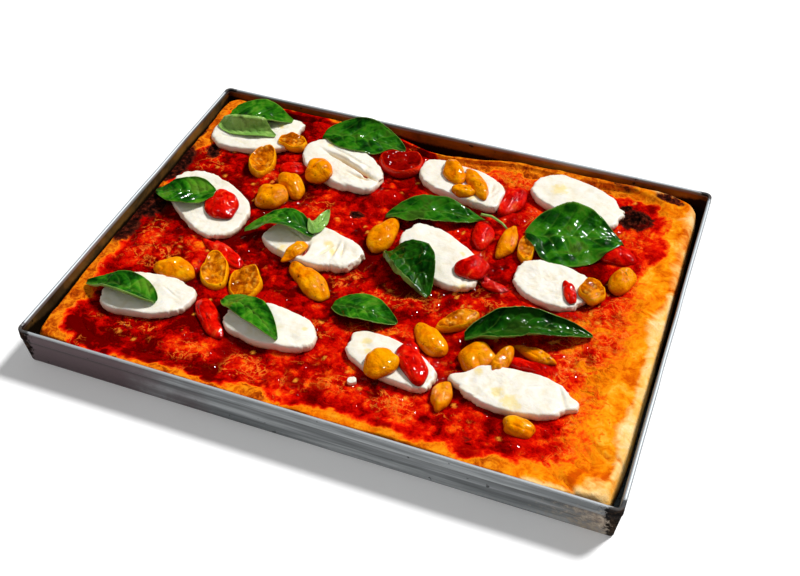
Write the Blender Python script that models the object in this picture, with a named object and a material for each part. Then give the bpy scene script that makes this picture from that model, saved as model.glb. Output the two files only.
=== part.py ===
"""Tray pizza: a thick rectangular pizza baked in a 40 x 30 cm sheet-steel tray.

The dough fills the tray, with a thin tomato sauce inside its browned rim. On it lie twelve torn
slices of mozzarella, halved yellow and red cherry tomatoes and basil leaves, each its own piece.
Every topping is laid on what is already there, so the pieces touch without crossing.

All sizes are in millimetres and become metres when a mesh is made. The origin is the middle of
the tray's underside, +X runs along the tray's long side, and +Z is up.
"""

import math

import bpy
import numpy as np

MM = 0.001
GAP = 0.4

# Baking tray, a standard 40 x 30 x 3 cm sheet with a hem folded outwards and down.
TRAY_LENGTH = 400.0
TRAY_WIDTH = 300.0
TRAY_HEIGHT = 30.0
SHEET = 1.0
HEM_WIDTH = 2.6
HEM_DROP = 8.0
WALL_DRAFT = 1.8
TRAY_CORNER = 5.0
CORNER_STEPS = 4

# Dough
DOUGH_HALF = (195.6, 145.6)
DOUGH_CENTRE = (-0.4, 0.0)
DOUGH_CORNER = 9.0
DOUGH_FOOT = 1.3
FOOT_INSET = 4.0
RIM_HEIGHT = 22.4
BED_HEIGHT = 17.4
# Places where the baked edge stands back from the wall: x, y, depth, reach.
EDGE_DENTS = (
    (-6, 147, 14, 26), (-40, 147, 4, 16), (30, 147, 6, 18), (-197, 142, 2, 22), (-197, -140, 2.5, 26),
    (197, 150, 4, 22), (197, -146, 4, 24), (60, -147, 1.5, 40), (-80, -147, 1.5, 30),
)

# Tomato sauce
SAUCE_CENTRE = (-7.0, 4.0)
SAUCE_HALF = (176.0, 136.0)
SAUCE_CORNER = 30.0
SAUCE_FOOT = 17.8
SAUCE_HEIGHT = 20.4
SAUCE_CELLS = (26, 20)
# Places where the dough rim is wider and the sauce ends further in: x, y, depth, reach.
SAUCE_DENTS = ((168, -115, 9, 40), (-184, -110, 4, 40), (-5, 142, 10, 30), (168, 100, 5, 40), (60, -133, 4, 60))
# Sunk tomatoes and blisters that stand up in the sauce: x, y, height, half length, half width, turn.
SAUCE_HUMPS = (
    (-28, 72, 3.5, 16, 11, 10), (-61, -59, 3.0, 16, 11, -20), (128, 16, 2.2, 13, 9, 0),
    (125, -112, 3.0, 17, 9, -25), (131, -2, 2.5, 13, 5, 10), (36, -57, 2.0, 13, 11, 0),
    (-109, 137, 2.5, 13, 7, -20), (72, 82, 2.2, 12, 8, 20), (150, 8, 2.0, 9, 6, 30),
    (154, 108, 2.5, 11, 9, 0), (-160, -40, 2.0, 16, 11, 40), (100, -20, 1.5, 14, 9, 0),
    (126, -55, 3.0, 15, 7, -8),
)

# Mozzarella slices: name, x, y, length, width, turn, height, outline lobes as (angle, amount, spread).
MOZZARELLA = (
    ("1", -152, 105, 70, 40, 18, 7, ((38, 0.20, 22), (-10, -0.12, 20), (-70, 0.08, 30))),
    ("2", -71, 91, 68, 44, -15, 8, ((160, 0.10, 25), (-25, 0.12, 30), (50, -0.10, 25))),
    ("3", -145, 15, 80, 46, -33, 7, ((20, -0.10, 30), (-60, 0.08, 30), (180, 0.08, 30))),
    ("4", -54, -1, 74, 39, -10, 8, ((35, 0.12, 25), (-140, 0.12, 25), (-50, -0.12, 20))),
    ("5", -139, -85, 65, 38, 6, 7, ((-120, 0.14, 30), (20, 0.08, 25), (150, -0.08, 30))),
    ("6", -49, -84, 70, 32, -3, 7, ((60, 0.22, 30), (180, -0.05, 30), (-20, 0.10, 30))),
    ("7", 36, -84, 62, 32, -12, 7, ((150, 0.14, 30), (60, -0.16, 30), (-30, 0.08, 30))),
    ("8", 21, 103, 68, 37, -12, 8, ((-30, 0.22, 18), (160, 0.08, 30), (90, -0.06, 30))),
    ("9", 107, 112, 71, 41, -18, 7, ((120, 0.10, 30), (-30, 0.06, 30), (-100, -0.08, 30))),
    ("10", 33, 19, 71, 39, -32, 8, ((35, -0.16, 20), (60, 0.10, 25), (150, 0.06, 30))),
    ("11", 113, 20, 60, 39, -8, 7, ((30, 0.08, 25), (-20, -0.16, 22), (-90, 0.06, 30))),
    ("12", 117, -81, 69, 34, 3, 7, ((0, 0.22, 12), (180, 0.22, 12), (70, 0.14, 30))),
)
SLICE_SECTORS = 16
SLICE_RINGS = (0.45, 0.8, 0.95, 1.0)
SLICE_FULLNESS = 0.82

# Halved tomatoes: name, x, y, length, width, turn, height, depth of the scooped side,
# and how the half leans, as rise per millimetre towards +X and +Y.
YELLOW_TOMATOES = (
    ("1", -119, 104, 25, 17, 0, 8, 3, 0, 0.05),
    ("2", -132, 76, 34, 20, 98, 11, 5, -0.2, 0.1),
    ("3", -107, 40, 26, 24, 80, 11, 0, 0, 0),
    ("4", -97, 58, 28, 20, -35, 11, 5, 0, 0.25),
    ("5", -84, 74, 24, 22, 90, 10, 0, 0, 0),
    ("6", -135, -56, 30, 21, 0, 10, 0, 0, 0),
    ("7", -109, -48, 34, 20, -62, 9, 4, 0.1, 0.25),
    ("8", -84, -50, 31, 18, -66, 9, 4, 0.15, 0.2),
    ("9", -42, -34, 42, 19, -32, 9, 2, 0, 0.15),
    ("10", -13, 30, 38, 20, 85, 10, 0, 0, 0),
    ("11", 13, 108, 26, 15, -55, 7, 3, 0, 0.1),
    ("12", 33, 101, 34, 12, -50, 7, 2, 0.1, 0.1),
    ("13", 72, 52, 32, 13, 86, 9, 0, 0, 0),
    ("14", 87, 49, 29, 12, 100, 9, 3, 0.1, 0),
    ("15", 157, 42, 25, 18, 80, 9, 0, 0, 0),
    ("16", 141, 20, 21, 15, 80, 7, 3, 0, 0),
    ("17", 64, -35, 29, 14, 45, 8, 2, 0, 0.1),
    ("18", 53, -57, 30, 17, -42, 9, 0, 0, 0),
    ("19", 32, -92, 23, 21, 80, 9, 0, 0, 0),
    ("20", 86, -61, 25, 21, 80, 10, 0, 0, 0),
    ("21", 102, -61, 26, 12, 75, 8, 0, 0, 0),
    ("22", 120, -45, 27, 10, -12, 6, 0, 0, 0),
    ("23", 75, -98, 24, 13, 95, 8, 0, 0, 0),
    ("24", 127, -107, 20, 15, -10, 8, 0, 0, 0),
)
RED_TOMATOES = (
    ("1", -106, 78, 25, 17, 20, 6, 0, 0, 0),
    ("2", -30, 111, 35, 27, 15, 11, 4, 0, 0.1),
    ("3", 61, 98, 35, 22, 80, 8, 0, 0, 0),
    ("4", -134, 17, 30, 24, -60, 7, 1, 0, 0),
    ("5", -113, -27, 42, 13, -25, 5, 0, 0, 0),
    ("6", -92, -88, 40, 15, -45, 6, 0, 0, 0),
    ("7", 53, 55, 31, 16, 100, 8, 0, 0, 0),
    ("8", 58, 13, 26, 20, 60, 8, 0, 0, 0),
    ("9", 147, 67, 29, 19, -10, 7, 0, 0, 0),
    ("10", 51, -86, 34, 17, -50, 8, 0, 0, 0),
)
TOMATO_SECTORS = 9
TOMATO_RINGS = (0.5, 0.84, 1.0)
# A tomato is drawn in to no less than this share where a neighbour stands in its way.
LEAST_SHRINK = 0.6
# The least thickness of a slice or a tomato, at its edge.
EDGE = 0.9

# Basil leaves: name, stalk end x, y, tip x, y, width, height above what is below, arch along,
# cup across in degrees to each side (left, right of the way from stalk to tip), and sideways bend.
BASIL = (
    ("1", -188, 119, -130, 127, 43, 1.5, 3, (20, 45), 2),
    ("2", -102, 125, -34, 126, 41, 2.5, 4, (32, -15), 0),
    ("3", -147, 22, -191, 19, 32, 1.5, 3, (20, 20), 2),
    ("4", -57, 4, -108, -3, 24, 2.0, 6, (30, 30), -7),
    ("5", -129, -93, -185, -90, 27, 1.0, 3, (70, 25), -2),
    ("6", -90, -71, -38, -97, 25, 1.0, 3, (20, 35), 4),
    ("7", -20, -47, 27, -50, 28, 1.0, 3, (15, 25), 0),
    ("8", -2, 14, 38, -21, 31, 1.0, 4, (40, 50), -1),
    ("9", -20, 50, 50, 69, 27, 1.5, 4, (30, 20), 3),
    ("10", 83, 60, 150, 77, 60, 2.0, 6, (25, -30), 0),
    ("11", 72, -46, 152, -17, 26, 1.5, 5, (60, 60), 2),
)
LEAF_THICKNESS = 0.7
LEAF_STEPS = (8, 4)

# Height map on which the pieces are laid: its reach, and how near to the gap is near enough.
SUPPORT_HALF = (200, 150)
SLIDE = 0.05


def smooth_noise(x, y, scale, seed):
    """A gentle bumpiness between about -1 and 1, made of a few crossing waves."""
    draw = np.random.default_rng(seed)
    total = np.zeros_like(np.asarray(x, dtype=float))
    waves = 7
    for _ in range(waves):
        angle, phase = draw.uniform(0, 2 * math.pi, 2)
        pitch = scale * draw.uniform(0.7, 1.5)
        along = np.asarray(x) * math.cos(angle) + np.asarray(y) * math.sin(angle)
        total = total + np.sin(2 * math.pi * along / pitch + phase)
    return total / math.sqrt(2 * waves)


def turned(x, y, degrees):
    c = math.cos(math.radians(degrees))
    s = math.sin(math.radians(degrees))
    return x * c - y * s, x * s + y * c


def material(name, color, roughness, metallic=0.0):
    made = bpy.data.materials.new(name)
    made.use_nodes = True
    shader = made.node_tree.nodes["Principled BSDF"]
    shader.inputs["Base Color"].default_value = (*color, 1.0)
    shader.inputs["Roughness"].default_value = roughness
    shader.inputs["Metallic"].default_value = metallic
    return made


def add_object(name, points, faces, look, sharp=40):
    """One named object from points in millimetres, shaded smooth except at sharp edges."""
    mesh = bpy.data.meshes.new(name)
    mesh.from_pydata([tuple(MM * value for value in point) for point in points], [], faces)
    mesh.validate()
    mesh.shade_smooth()
    mesh.set_sharp_from_angle(angle=math.radians(sharp))
    mesh.materials.append(look)
    made = bpy.data.objects.new(name, mesh)
    bpy.context.scene.collection.objects.link(made)
    return made


def fan(centre, ring):
    """Triangles from one point to each edge of a closed ring of point numbers."""
    return [(centre, ring[i], ring[(i + 1) % len(ring)]) for i in range(len(ring))]


def strip(outer, inner):
    """Triangles between two closed rings, facing up when both run anticlockwise."""
    found = []
    for i in range(len(outer)):
        j = (i + 1) % len(outer)
        found.append((outer[i], outer[j], inner[i]))
        found.append((outer[j], inner[j], inner[i]))
    return found


def flipped(faces):
    return [face[::-1] for face in faces]


class Support:
    """The highest surface so far, over a one-millimetre grid, on which the next piece is laid."""

    def __init__(self):
        self.half = SUPPORT_HALF
        self.high = np.full((2 * self.half[1] + 1, 2 * self.half[0] + 1), DOUGH_FOOT)

    def covered(self, corners):
        """Grid rows, columns, corner weights and heights of the grid points under a triangle."""
        low = np.floor(corners[:, :2].min(axis=0)).astype(int)
        top = np.ceil(corners[:, :2].max(axis=0)).astype(int)
        low = np.maximum(low, [-self.half[0], -self.half[1]])
        top = np.minimum(top, [self.half[0], self.half[1]])
        xs, ys = np.meshgrid(np.arange(low[0], top[0] + 1), np.arange(low[1], top[1] + 1))
        (ax, ay), (bx, by), (cx, cy) = corners[:, :2]
        area = (bx - ax) * (cy - ay) - (cx - ax) * (by - ay)
        if abs(area) < 1e-9 or not xs.size:
            return None
        first = ((bx - xs) * (cy - ys) - (cx - xs) * (by - ys)) / area
        second = ((cx - xs) * (ay - ys) - (ax - xs) * (cy - ys)) / area
        third = 1 - first - second
        slack = -0.02
        inside = (first >= slack) & (second >= slack) & (third >= slack)
        weights = np.stack([first[inside], second[inside], third[inside]], axis=1)
        rows = ys[inside] + self.half[1]
        columns = xs[inside] + self.half[0]
        return rows, columns, weights, weights @ corners[:, 2]

    def add(self, points, faces):
        """Raises the surface to this mesh, widened by one grid step for clearance."""
        fresh = np.full_like(self.high, -1.0)
        points = np.asarray(points, dtype=float)
        for face in faces:
            found = self.covered(points[list(face)])
            if found:
                rows, columns, _, heights = found
                np.maximum.at(fresh, (rows, columns), heights)
        wide = fresh.copy()
        for down in (-1, 0, 1):
            for across in (-1, 0, 1):
                wide = np.maximum(wide, np.roll(np.roll(fresh, down, axis=0), across, axis=1))
        self.high = np.maximum(self.high, wide)

    def at(self, x, y):
        """The surface's height at one point or at each of many."""
        columns = np.clip(np.rint(x).astype(int) + self.half[0], 0, 2 * self.half[0])
        rows = np.clip(np.rint(y).astype(int) + self.half[1], 0, 2 * self.half[1])
        return self.high[rows, columns]

    def raised(self, points, faces, gap=GAP):
        """How far each point has to rise for the faces to clear the surface."""
        points = np.array(points, dtype=float)
        rise = np.maximum(self.at(points[:, 0], points[:, 1]) + gap - points[:, 2], 0)
        for _ in range(12):
            lifted = points.copy()
            lifted[:, 2] += rise
            more = np.zeros(len(points))
            for face in faces:
                corners = list(face)
                found = self.covered(lifted[corners])
                if not found:
                    continue
                rows, columns, _, heights = found
                short = float((self.high[rows, columns] + gap - heights).max(initial=0))
                if short > SLIDE:
                    more[corners] = np.maximum(more[corners], short)
            if not more.any():
                break
            rise += more
        return rise


def border_square(cells):
    """Points round the edge of the square from -1 to 1, anticlockwise from its lower left corner."""
    across, up = cells
    lower = [(-1 + 2 * i / across, -1) for i in range(across)]
    right = [(1, -1 + 2 * i / up) for i in range(up)]
    upper = [(1 - 2 * i / across, 1) for i in range(across)]
    left = [(-1, 1 - 2 * i / up) for i in range(up)]
    return lower + right + upper + left


def rounded(u, v, centre, half, corner, dents, wobble, seed):
    """The point of a rounded rectangle's edge that belongs to a point (u, v) of the square's edge."""
    x, y = half[0] * u, half[1] * v
    core_x = min(max(x, corner - half[0]), half[0] - corner)
    core_y = min(max(y, corner - half[1]), half[1] - corner)
    out_x, out_y = x - core_x, y - core_y
    size = math.hypot(out_x, out_y)
    out_x, out_y = out_x / size, out_y / size
    x, y = core_x + corner * out_x + centre[0], core_y + corner * out_y + centre[1]
    inward = wobble * (1 + float(smooth_noise(x, y, 55, seed)))
    for dent_x, dent_y, depth, reach in dents:
        away = math.hypot(x - dent_x, y - dent_y) / reach
        inward += depth * math.exp(-away * away)
    return x - out_x * inward, y - out_y * inward


def sauce_edge(u, v):
    return rounded(u, v, SAUCE_CENTRE, SAUCE_HALF, SAUCE_CORNER, SAUCE_DENTS, 1.6, 3)


def dough_edge(u, v):
    return rounded(u, v, DOUGH_CENTRE, DOUGH_HALF, DOUGH_CORNER, EDGE_DENTS, 0.4, 5)


def sauce_height(x, y):
    """The uneven top of the sauce, with the sunk tomatoes that stand up in it."""
    height = SAUCE_HEIGHT + 0.35 * smooth_noise(x, y, 48, 11) + 0.25 * smooth_noise(x, y, 24, 12)
    for hump_x, hump_y, high, long, wide, turn in SAUCE_HUMPS:
        along, across = turned(x - hump_x, y - hump_y, -turn)
        away = (along / long) ** 2 + (across / wide) ** 2
        height = height + high * np.exp(-away * 1.2)
    return height


def make_tray(look):
    """The folded sheet as one skin: outer wall, hem, rim, inner wall and floor."""
    wall_top = HEM_WIDTH - SHEET
    foot = wall_top + WALL_DRAFT
    hem_low = TRAY_HEIGHT - HEM_DROP
    # How far in from the rim's outer edge, and how high, going up outside and down inside.
    section = (
        (foot + 1.2, 0.0), (foot, 1.2), (wall_top + 0.4, hem_low), (wall_top, TRAY_HEIGHT - 1.4),
        (SHEET, TRAY_HEIGHT - 1.4), (SHEET, hem_low), (0.0, hem_low), (0.0, TRAY_HEIGHT - 0.6),
        (0.6, TRAY_HEIGHT), (HEM_WIDTH - 0.4, TRAY_HEIGHT), (HEM_WIDTH, TRAY_HEIGHT - 0.5),
        (foot + SHEET, SHEET + 1.0), (foot + SHEET + 1.0, SHEET),
    )
    points = []
    rings = []
    for inset, height in section:
        corner = max(TRAY_CORNER - inset, 1.0)
        half_x = TRAY_LENGTH / 2 - inset
        half_y = TRAY_WIDTH / 2 - inset
        ring = []
        for quarter in range(4):
            side_x = 1 if quarter in (0, 3) else -1
            side_y = 1 if quarter in (0, 1) else -1
            for step in range(CORNER_STEPS + 1):
                angle = math.pi / 2 * (quarter + step / CORNER_STEPS)
                x = side_x * (half_x - corner) + corner * math.cos(angle)
                y = side_y * (half_y - corner) + corner * math.sin(angle)
                ring.append(len(points))
                points.append((x, y, height))
        rings.append(ring)
    floor_middle = len(points)
    points.append((0.0, 0.0, SHEET))
    under_middle = len(points)
    points.append((0.0, 0.0, 0.0))
    faces = [face for outer, inner in zip(rings, rings[1:]) for face in strip(outer, inner)]
    faces += fan(floor_middle, rings[-1])
    faces += flipped(fan(under_middle, rings[0]))
    return add_object("tray", points, faces, look, 30)


def make_dough(look, support):
    """The dough: a bed under the sauce, a browned rim round it and a flat underside."""
    border = border_square(SAUCE_CELLS)
    inner = [sauce_edge(u, v) for u, v in border]
    outer = [dough_edge(u, v) for u, v in border]
    # How far from the sauce's edge to the dough's own edge, and the height there.
    section = ((0.96, 16.0), (0.88, 20.2), (0.68, RIM_HEIGHT), (0.38, RIM_HEIGHT - 0.2), (0.14, 21.2))
    points = []
    rings = []

    def add_ring(ring_points):
        rings.append(list(range(len(points), len(points) + len(ring_points))))
        points.extend(ring_points)

    foot = []
    for x, y in outer:
        inset_x = 1 - FOOT_INSET / DOUGH_HALF[0]
        inset_y = 1 - FOOT_INSET / DOUGH_HALF[1]
        foot.append((x * inset_x, y * inset_y, DOUGH_FOOT))
    add_ring(foot)
    add_ring([(x, y, 12.0) for x, y in outer])
    for share, height in section:
        ring = []
        for (inner_x, inner_y), (outer_x, outer_y) in zip(inner, outer):
            x = inner_x + share * (outer_x - inner_x)
            y = inner_y + share * (outer_y - inner_y)
            ring.append((x, y, height + 0.5 * float(smooth_noise(x, y, 40, 21))))
        add_ring(ring)
    middle = SAUCE_CENTRE
    for outset, height in ((1.4, 19.8), (0.8, BED_HEIGHT)):
        ring = []
        for x, y in inner:
            away = math.hypot(x - middle[0], y - middle[1])
            grow = 1 + outset / away
            ring.append((middle[0] + (x - middle[0]) * grow, middle[1] + (y - middle[1]) * grow, height))
        add_ring(ring)
    bed = len(points)
    points.append((*middle, BED_HEIGHT))
    under = len(points)
    points.append((*middle, DOUGH_FOOT))
    faces = [face for low, high in zip(rings, rings[1:]) for face in strip(low, high)]
    faces += fan(bed, rings[-1])
    faces += flipped(fan(under, rings[0]))
    support.add(points, faces)
    return add_object("dough", points, faces, look)


def make_sauce(look, support):
    """The sauce as a skin in the dough's bed: an uneven top over a flat underside."""
    across, up = SAUCE_CELLS
    points = []
    numbers = {}
    for i in range(across + 1):
        for j in range(up + 1):
            u, v = -1 + 2 * i / across, -1 + 2 * j / up
            size = max(abs(u), abs(v))
            if size == 0:
                x, y = SAUCE_CENTRE
            else:
                edge_x, edge_y = sauce_edge(u / size, v / size)
                x = SAUCE_CENTRE[0] + size * (edge_x - SAUCE_CENTRE[0])
                y = SAUCE_CENTRE[1] + size * (edge_y - SAUCE_CENTRE[1])
            height = float(sauce_height(x, y)) if size < 1 else SAUCE_HEIGHT - 0.9
            numbers[i, j] = len(points)
            points.append((x, y, height))
    faces = []
    for i in range(across):
        for j in range(up):
            corners = (numbers[i, j], numbers[i + 1, j], numbers[i + 1, j + 1], numbers[i, j + 1])
            if (i < across / 2) == (j < up / 2):
                faces += [(corners[0], corners[1], corners[2]), (corners[0], corners[2], corners[3])]
            else:
                faces += [(corners[0], corners[1], corners[3]), (corners[1], corners[2], corners[3])]
    lower = [numbers[i, 0] for i in range(across)] + [numbers[across, j] for j in range(up)]
    upper = [numbers[across - i, up] for i in range(across)] + [numbers[0, up - j] for j in range(up)]
    top_ring = lower + upper
    foot_ring = list(range(len(points), len(points) + len(top_ring)))
    points += [(points[number][0], points[number][1], SAUCE_FOOT) for number in top_ring]
    under = len(points)
    points.append((*SAUCE_CENTRE, SAUCE_FOOT))
    faces += strip(foot_ring, top_ring)
    faces += flipped(fan(under, foot_ring))
    support.add(points, faces)
    return add_object("tomato_sauce", points, faces, look)


def oval(angle, fullness):
    """A point of an oval of half size 1, an ellipse at fullness 1 and squarer below it."""
    c, s = math.cos(angle), math.sin(angle)
    return math.copysign(abs(c) ** fullness, c), math.copysign(abs(s) ** fullness, s)


def disc_plan(at, length, width, turn, rings, reach, fullness=1.0):
    """Centre and rings of plan points, where reach gives the outline at each of its angles."""
    plan = [(0.0, 0.0)]
    for ring in rings:
        for sector, grow in enumerate(reach):
            across, up = oval(2 * math.pi * sector / len(reach), fullness)
            plan.append((ring * grow * length / 2 * across, ring * grow * width / 2 * up))
    return [(at[0] + x, at[1] + y) for x, y in (turned(px, py, turn) for px, py in plan)]


def disc_faces(sectors, rings):
    """Triangles of one face of a disc made by disc_plan, facing up."""
    ring_numbers = [[1 + ring * sectors + i for i in range(sectors)] for ring in range(rings)]
    faces = fan(0, ring_numbers[0])
    for inner, outer in zip(ring_numbers, ring_numbers[1:]):
        faces += strip(outer, inner)
    return faces, ring_numbers[-1]


def laid_disc(name, plan, sectors, rings, thickness_at, look, support):
    """A piece whose underside follows what it lies on and whose top stands thickness_at above it."""
    faces, rim = disc_faces(sectors, rings)
    under = np.array([(x, y, 0.0) for x, y in plan])
    under[:, 2] = support.at(under[:, 0], under[:, 1]) + GAP
    under[:, 2] += support.raised(under, faces)
    top = under.copy()
    top[:, 2] += np.maximum(thickness_at(under), EDGE)
    count = len(plan)
    points = [tuple(point) for point in top] + [tuple(point) for point in under]
    low_rim = [number + count for number in rim]
    low_faces = [tuple(number + count for number in face) for face in faces]
    every = faces + flipped(low_faces) + strip(low_rim, rim)
    support.add(points, every)
    return add_object(name, points, every, look, 50)


def shrunk_to_fit(at, length, width, turn, reach, support, climb):
    """Draws the outline in where the ground beside the piece stands too high for it to lie on."""
    level = support.at(*at)
    fitted = []
    for sector, grow in enumerate(reach):
        angle = 2 * math.pi * sector / len(reach)
        edge_x, edge_y = turned(length / 2 * math.cos(angle), width / 2 * math.sin(angle), turn)
        share = 1.0
        while share > LEAST_SHRINK:
            kept = grow * share
            if support.at(at[0] + kept * edge_x, at[1] + kept * edge_y) < level + climb:
                break
            share -= 0.05
        fitted.append(grow * share)
    return fitted


def make_slice(spec, look, support):
    """A torn mozzarella slice: a soft slab with a rounded edge and an irregular outline."""
    name, x, y, length, width, turn, height, lobes = spec
    draw = np.random.default_rng(100 + int(name))
    reach = []
    for sector in range(SLICE_SECTORS):
        angle = 360 * sector / SLICE_SECTORS
        grow = 1 + draw.uniform(-0.03, 0.03)
        for at_angle, amount, spread in lobes:
            away = (angle - at_angle + 180) % 360 - 180
            grow += amount * math.exp(-((away / spread) ** 2))
        reach.append(grow)
    plan = disc_plan((x, y), length, width, turn, SLICE_RINGS, reach, SLICE_FULLNESS)
    share = np.array([0.0] + [ring for ring in SLICE_RINGS for _ in range(SLICE_SECTORS)])

    def thickness(under):
        level = np.median(under[:, 2])
        body = height * (1 - share**7) ** 0.5 * (0.92 + 0.08 * (1 - share**2))
        body = body + 0.5 * smooth_noise(under[:, 0], under[:, 1], 30, 40 + int(name)) * (share < 0.9)
        return body - 0.35 * (under[:, 2] - level)

    return laid_disc(f"mozzarella_{name}", plan, SLICE_SECTORS, len(SLICE_RINGS), thickness, look, support)


def make_tomato(kind, spec, look, support):
    """Half a cherry tomato, skin up or with its scooped side up, sunk a little at its edge."""
    name, x, y, length, width, turn, height, scoop, lean_x, lean_y = spec
    draw = np.random.default_rng(300 + int(name) + 50 * (kind == "red"))
    reach = [1 + draw.uniform(-0.04, 0.04) for _ in range(TOMATO_SECTORS)]
    reach = shrunk_to_fit((x, y), length, width, turn, reach, support, 0.55 * height)
    plan = disc_plan((x, y), length, width, turn, TOMATO_RINGS, reach)
    share = np.array([0.0] + [ring for ring in TOMATO_RINGS for _ in range(TOMATO_SECTORS)])

    def thickness(under):
        level = np.median(under[:, 2])
        body = height * (1 - share**2.6) ** 0.55
        if scoop:
            body = height * (1 - share**6) ** 0.5 - scoop * np.maximum(1 - (share / 0.75) ** 2, 0)
        lean = lean_x * (under[:, 0] - x) + lean_y * (under[:, 1] - y)
        return body + lean * (share < 1) - 0.8 * (under[:, 2] - level)

    return laid_disc(f"{kind}_tomato_{name}", plan, TOMATO_SECTORS, len(TOMATO_RINGS), thickness, look, support)


def leaf_half_width(share):
    """A basil leaf's half width along its length, as a share of its widest: blunt stalk end, pointed tip."""
    return max(math.sin(math.pi * share**0.8), 0.0) ** 0.75


def leaf_surface(spec, support):
    """The leaf's middle surface as a grid of points, draped over what is below."""
    name, stalk_x, stalk_y, tip_x, tip_y, width, lift, arch, cups, bend = spec
    steps_along, steps_across = LEAF_STEPS
    length = math.hypot(tip_x - stalk_x, tip_y - stalk_y)
    heading = math.degrees(math.atan2(tip_y - stalk_y, tip_x - stalk_x))
    grid = []
    for i in range(steps_along + 1):
        along = i / steps_along
        half = width / 2 * max(leaf_half_width(0.03 + 0.94 * along), 0.08)
        for j in range(steps_across + 1):
            across = -1 + 2 * j / steps_across
            cup = math.radians(cups[0] if across > 0 else cups[1])
            if abs(cup) < 0.02:
                side, high = across * half, 0.0
            else:
                radius = half / abs(cup)
                side = math.copysign(radius * math.sin(abs(cup * across)), across)
                high = math.copysign(radius * (1 - math.cos(cup * across)), cup)
            wave = 0.9 * math.sin(5.0 * along + 2.5 * across + int(name)) * abs(across)
            ahead = along * length
            side += bend * math.sin(math.pi * along)
            out_x, out_y = turned(ahead, side, heading)
            grid.append((stalk_x + out_x, stalk_y + out_y, arch * math.sin(math.pi * along) + high + wave))
    grid = np.array(grid)
    ground = support.at(grid[:, 0], grid[:, 1])
    drape = np.median(ground) * 0.5 + ground * 0.5
    grid[:, 2] += drape + lift
    return grid


def make_leaf(spec, look, support):
    """A basil leaf: a thin arched solid, both faces split into triangles alike."""
    steps_along, steps_across = LEAF_STEPS
    row = steps_across + 1
    grid = leaf_surface(spec, support)
    faces = []
    for i in range(steps_along):
        for j in range(steps_across):
            a, b = i * row + j, i * row + j + 1
            c, d = a + row, b + row
            if j < steps_across / 2:
                faces += [(a, c, d), (a, d, b)]
            else:
                faces += [(a, c, b), (c, d, b)]
    rise = support.raised(grid - [0, 0, LEAF_THICKNESS], faces)
    for _ in range(2):
        shaped = rise.reshape(steps_along + 1, row)
        eased = shaped.copy()
        eased[1:-1] = np.maximum(eased[1:-1], (shaped[2:] + shaped[:-2]) / 2)
        eased[:, 1:-1] = np.maximum(eased[:, 1:-1], (shaped[:, 2:] + shaped[:, :-2]) / 2)
        rise = eased.ravel()
    grid[:, 2] += rise
    normals = np.zeros_like(grid)
    for face in faces:
        p, q, r = grid[list(face)]
        normals[list(face)] += np.cross(q - p, r - p)
    normals /= np.linalg.norm(normals, axis=1)[:, None]
    top = grid + normals * LEAF_THICKNESS / 2
    under = grid - normals * LEAF_THICKNESS / 2
    count = len(grid)
    points = [tuple(point) for point in top] + [tuple(point) for point in under]
    low_faces = [tuple(number + count for number in face) for face in faces]
    rim = [i * row for i in range(steps_along + 1)]
    rim += [steps_along * row + j for j in range(1, row)]
    rim += [i * row + steps_across for i in range(steps_along - 1, -1, -1)]
    rim += list(range(steps_across - 1, 0, -1))
    low_rim = [number + count for number in rim]
    every = faces + flipped(low_faces) + strip(low_rim, rim)
    support.add(points, every)
    return add_object(f"basil_{spec[0]}", points, every, look, 60)


def clear_scene():
    for made in list(bpy.data.objects):
        bpy.data.objects.remove(made, do_unlink=True)


def main():
    clear_scene()
    support = Support()
    make_tray(material("tray_steel", (0.30, 0.29, 0.28), 0.38, 1.0))
    make_dough(material("baked_dough", (0.72, 0.36, 0.10), 0.7), support)
    make_sauce(material("tomato_sauce", (0.55, 0.04, 0.01), 0.3), support)
    for spec in MOZZARELLA:
        make_slice(spec, material("mozzarella", (0.86, 0.82, 0.72), 0.4), support)
    for spec in RED_TOMATOES:
        make_tomato("red", spec, material("red_tomato", (0.55, 0.02, 0.01), 0.2), support)
    for spec in YELLOW_TOMATOES:
        make_tomato("yellow", spec, material("yellow_tomato", (0.85, 0.38, 0.02), 0.25), support)
    for spec in BASIL:
        make_leaf(spec, material("basil", (0.05, 0.20, 0.02), 0.4), support)


main()
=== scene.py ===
"""Looks of the tray pizza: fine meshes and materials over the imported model.

Lengths in this script are millimetres in the row frame (origin under the tray's middle, +Z up) and
become metres when a mesh is made. Each topping is laid on the surface so far, a half-millimetre
height map, in the same order as the solids that it replaces.
"""

import math

import bpy
import numpy as np
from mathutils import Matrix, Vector


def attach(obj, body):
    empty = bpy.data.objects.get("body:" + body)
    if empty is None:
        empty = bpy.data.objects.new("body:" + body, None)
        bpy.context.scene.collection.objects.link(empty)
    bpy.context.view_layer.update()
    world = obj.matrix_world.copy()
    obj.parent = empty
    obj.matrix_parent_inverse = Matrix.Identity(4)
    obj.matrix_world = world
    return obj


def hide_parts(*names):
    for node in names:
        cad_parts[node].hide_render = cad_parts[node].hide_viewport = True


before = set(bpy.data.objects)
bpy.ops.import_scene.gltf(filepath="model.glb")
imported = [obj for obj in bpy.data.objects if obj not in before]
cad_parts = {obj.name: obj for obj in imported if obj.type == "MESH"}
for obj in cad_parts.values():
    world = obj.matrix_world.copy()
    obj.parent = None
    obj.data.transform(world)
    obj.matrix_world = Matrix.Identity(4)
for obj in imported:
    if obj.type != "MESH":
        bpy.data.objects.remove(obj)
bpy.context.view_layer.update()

MM = 0.001
# How many toppings of each kind stand for a solid. Those after them are pieces of the scene alone.
SOLIDS = {"mozzarella": 12, "red_tomato": 10, "yellow_tomato": 24, "basil": 11}

TRAY_LENGTH = 400.0
TRAY_WIDTH = 300.0
TRAY_HEIGHT = 30.0
TRAY_FOOT = 2.9
TRAY_CORNER = 5.0
HEM_WIDTH = 2.6
HEM_DROP = 8.0
WALL_DRAFT = 1.8
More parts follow.
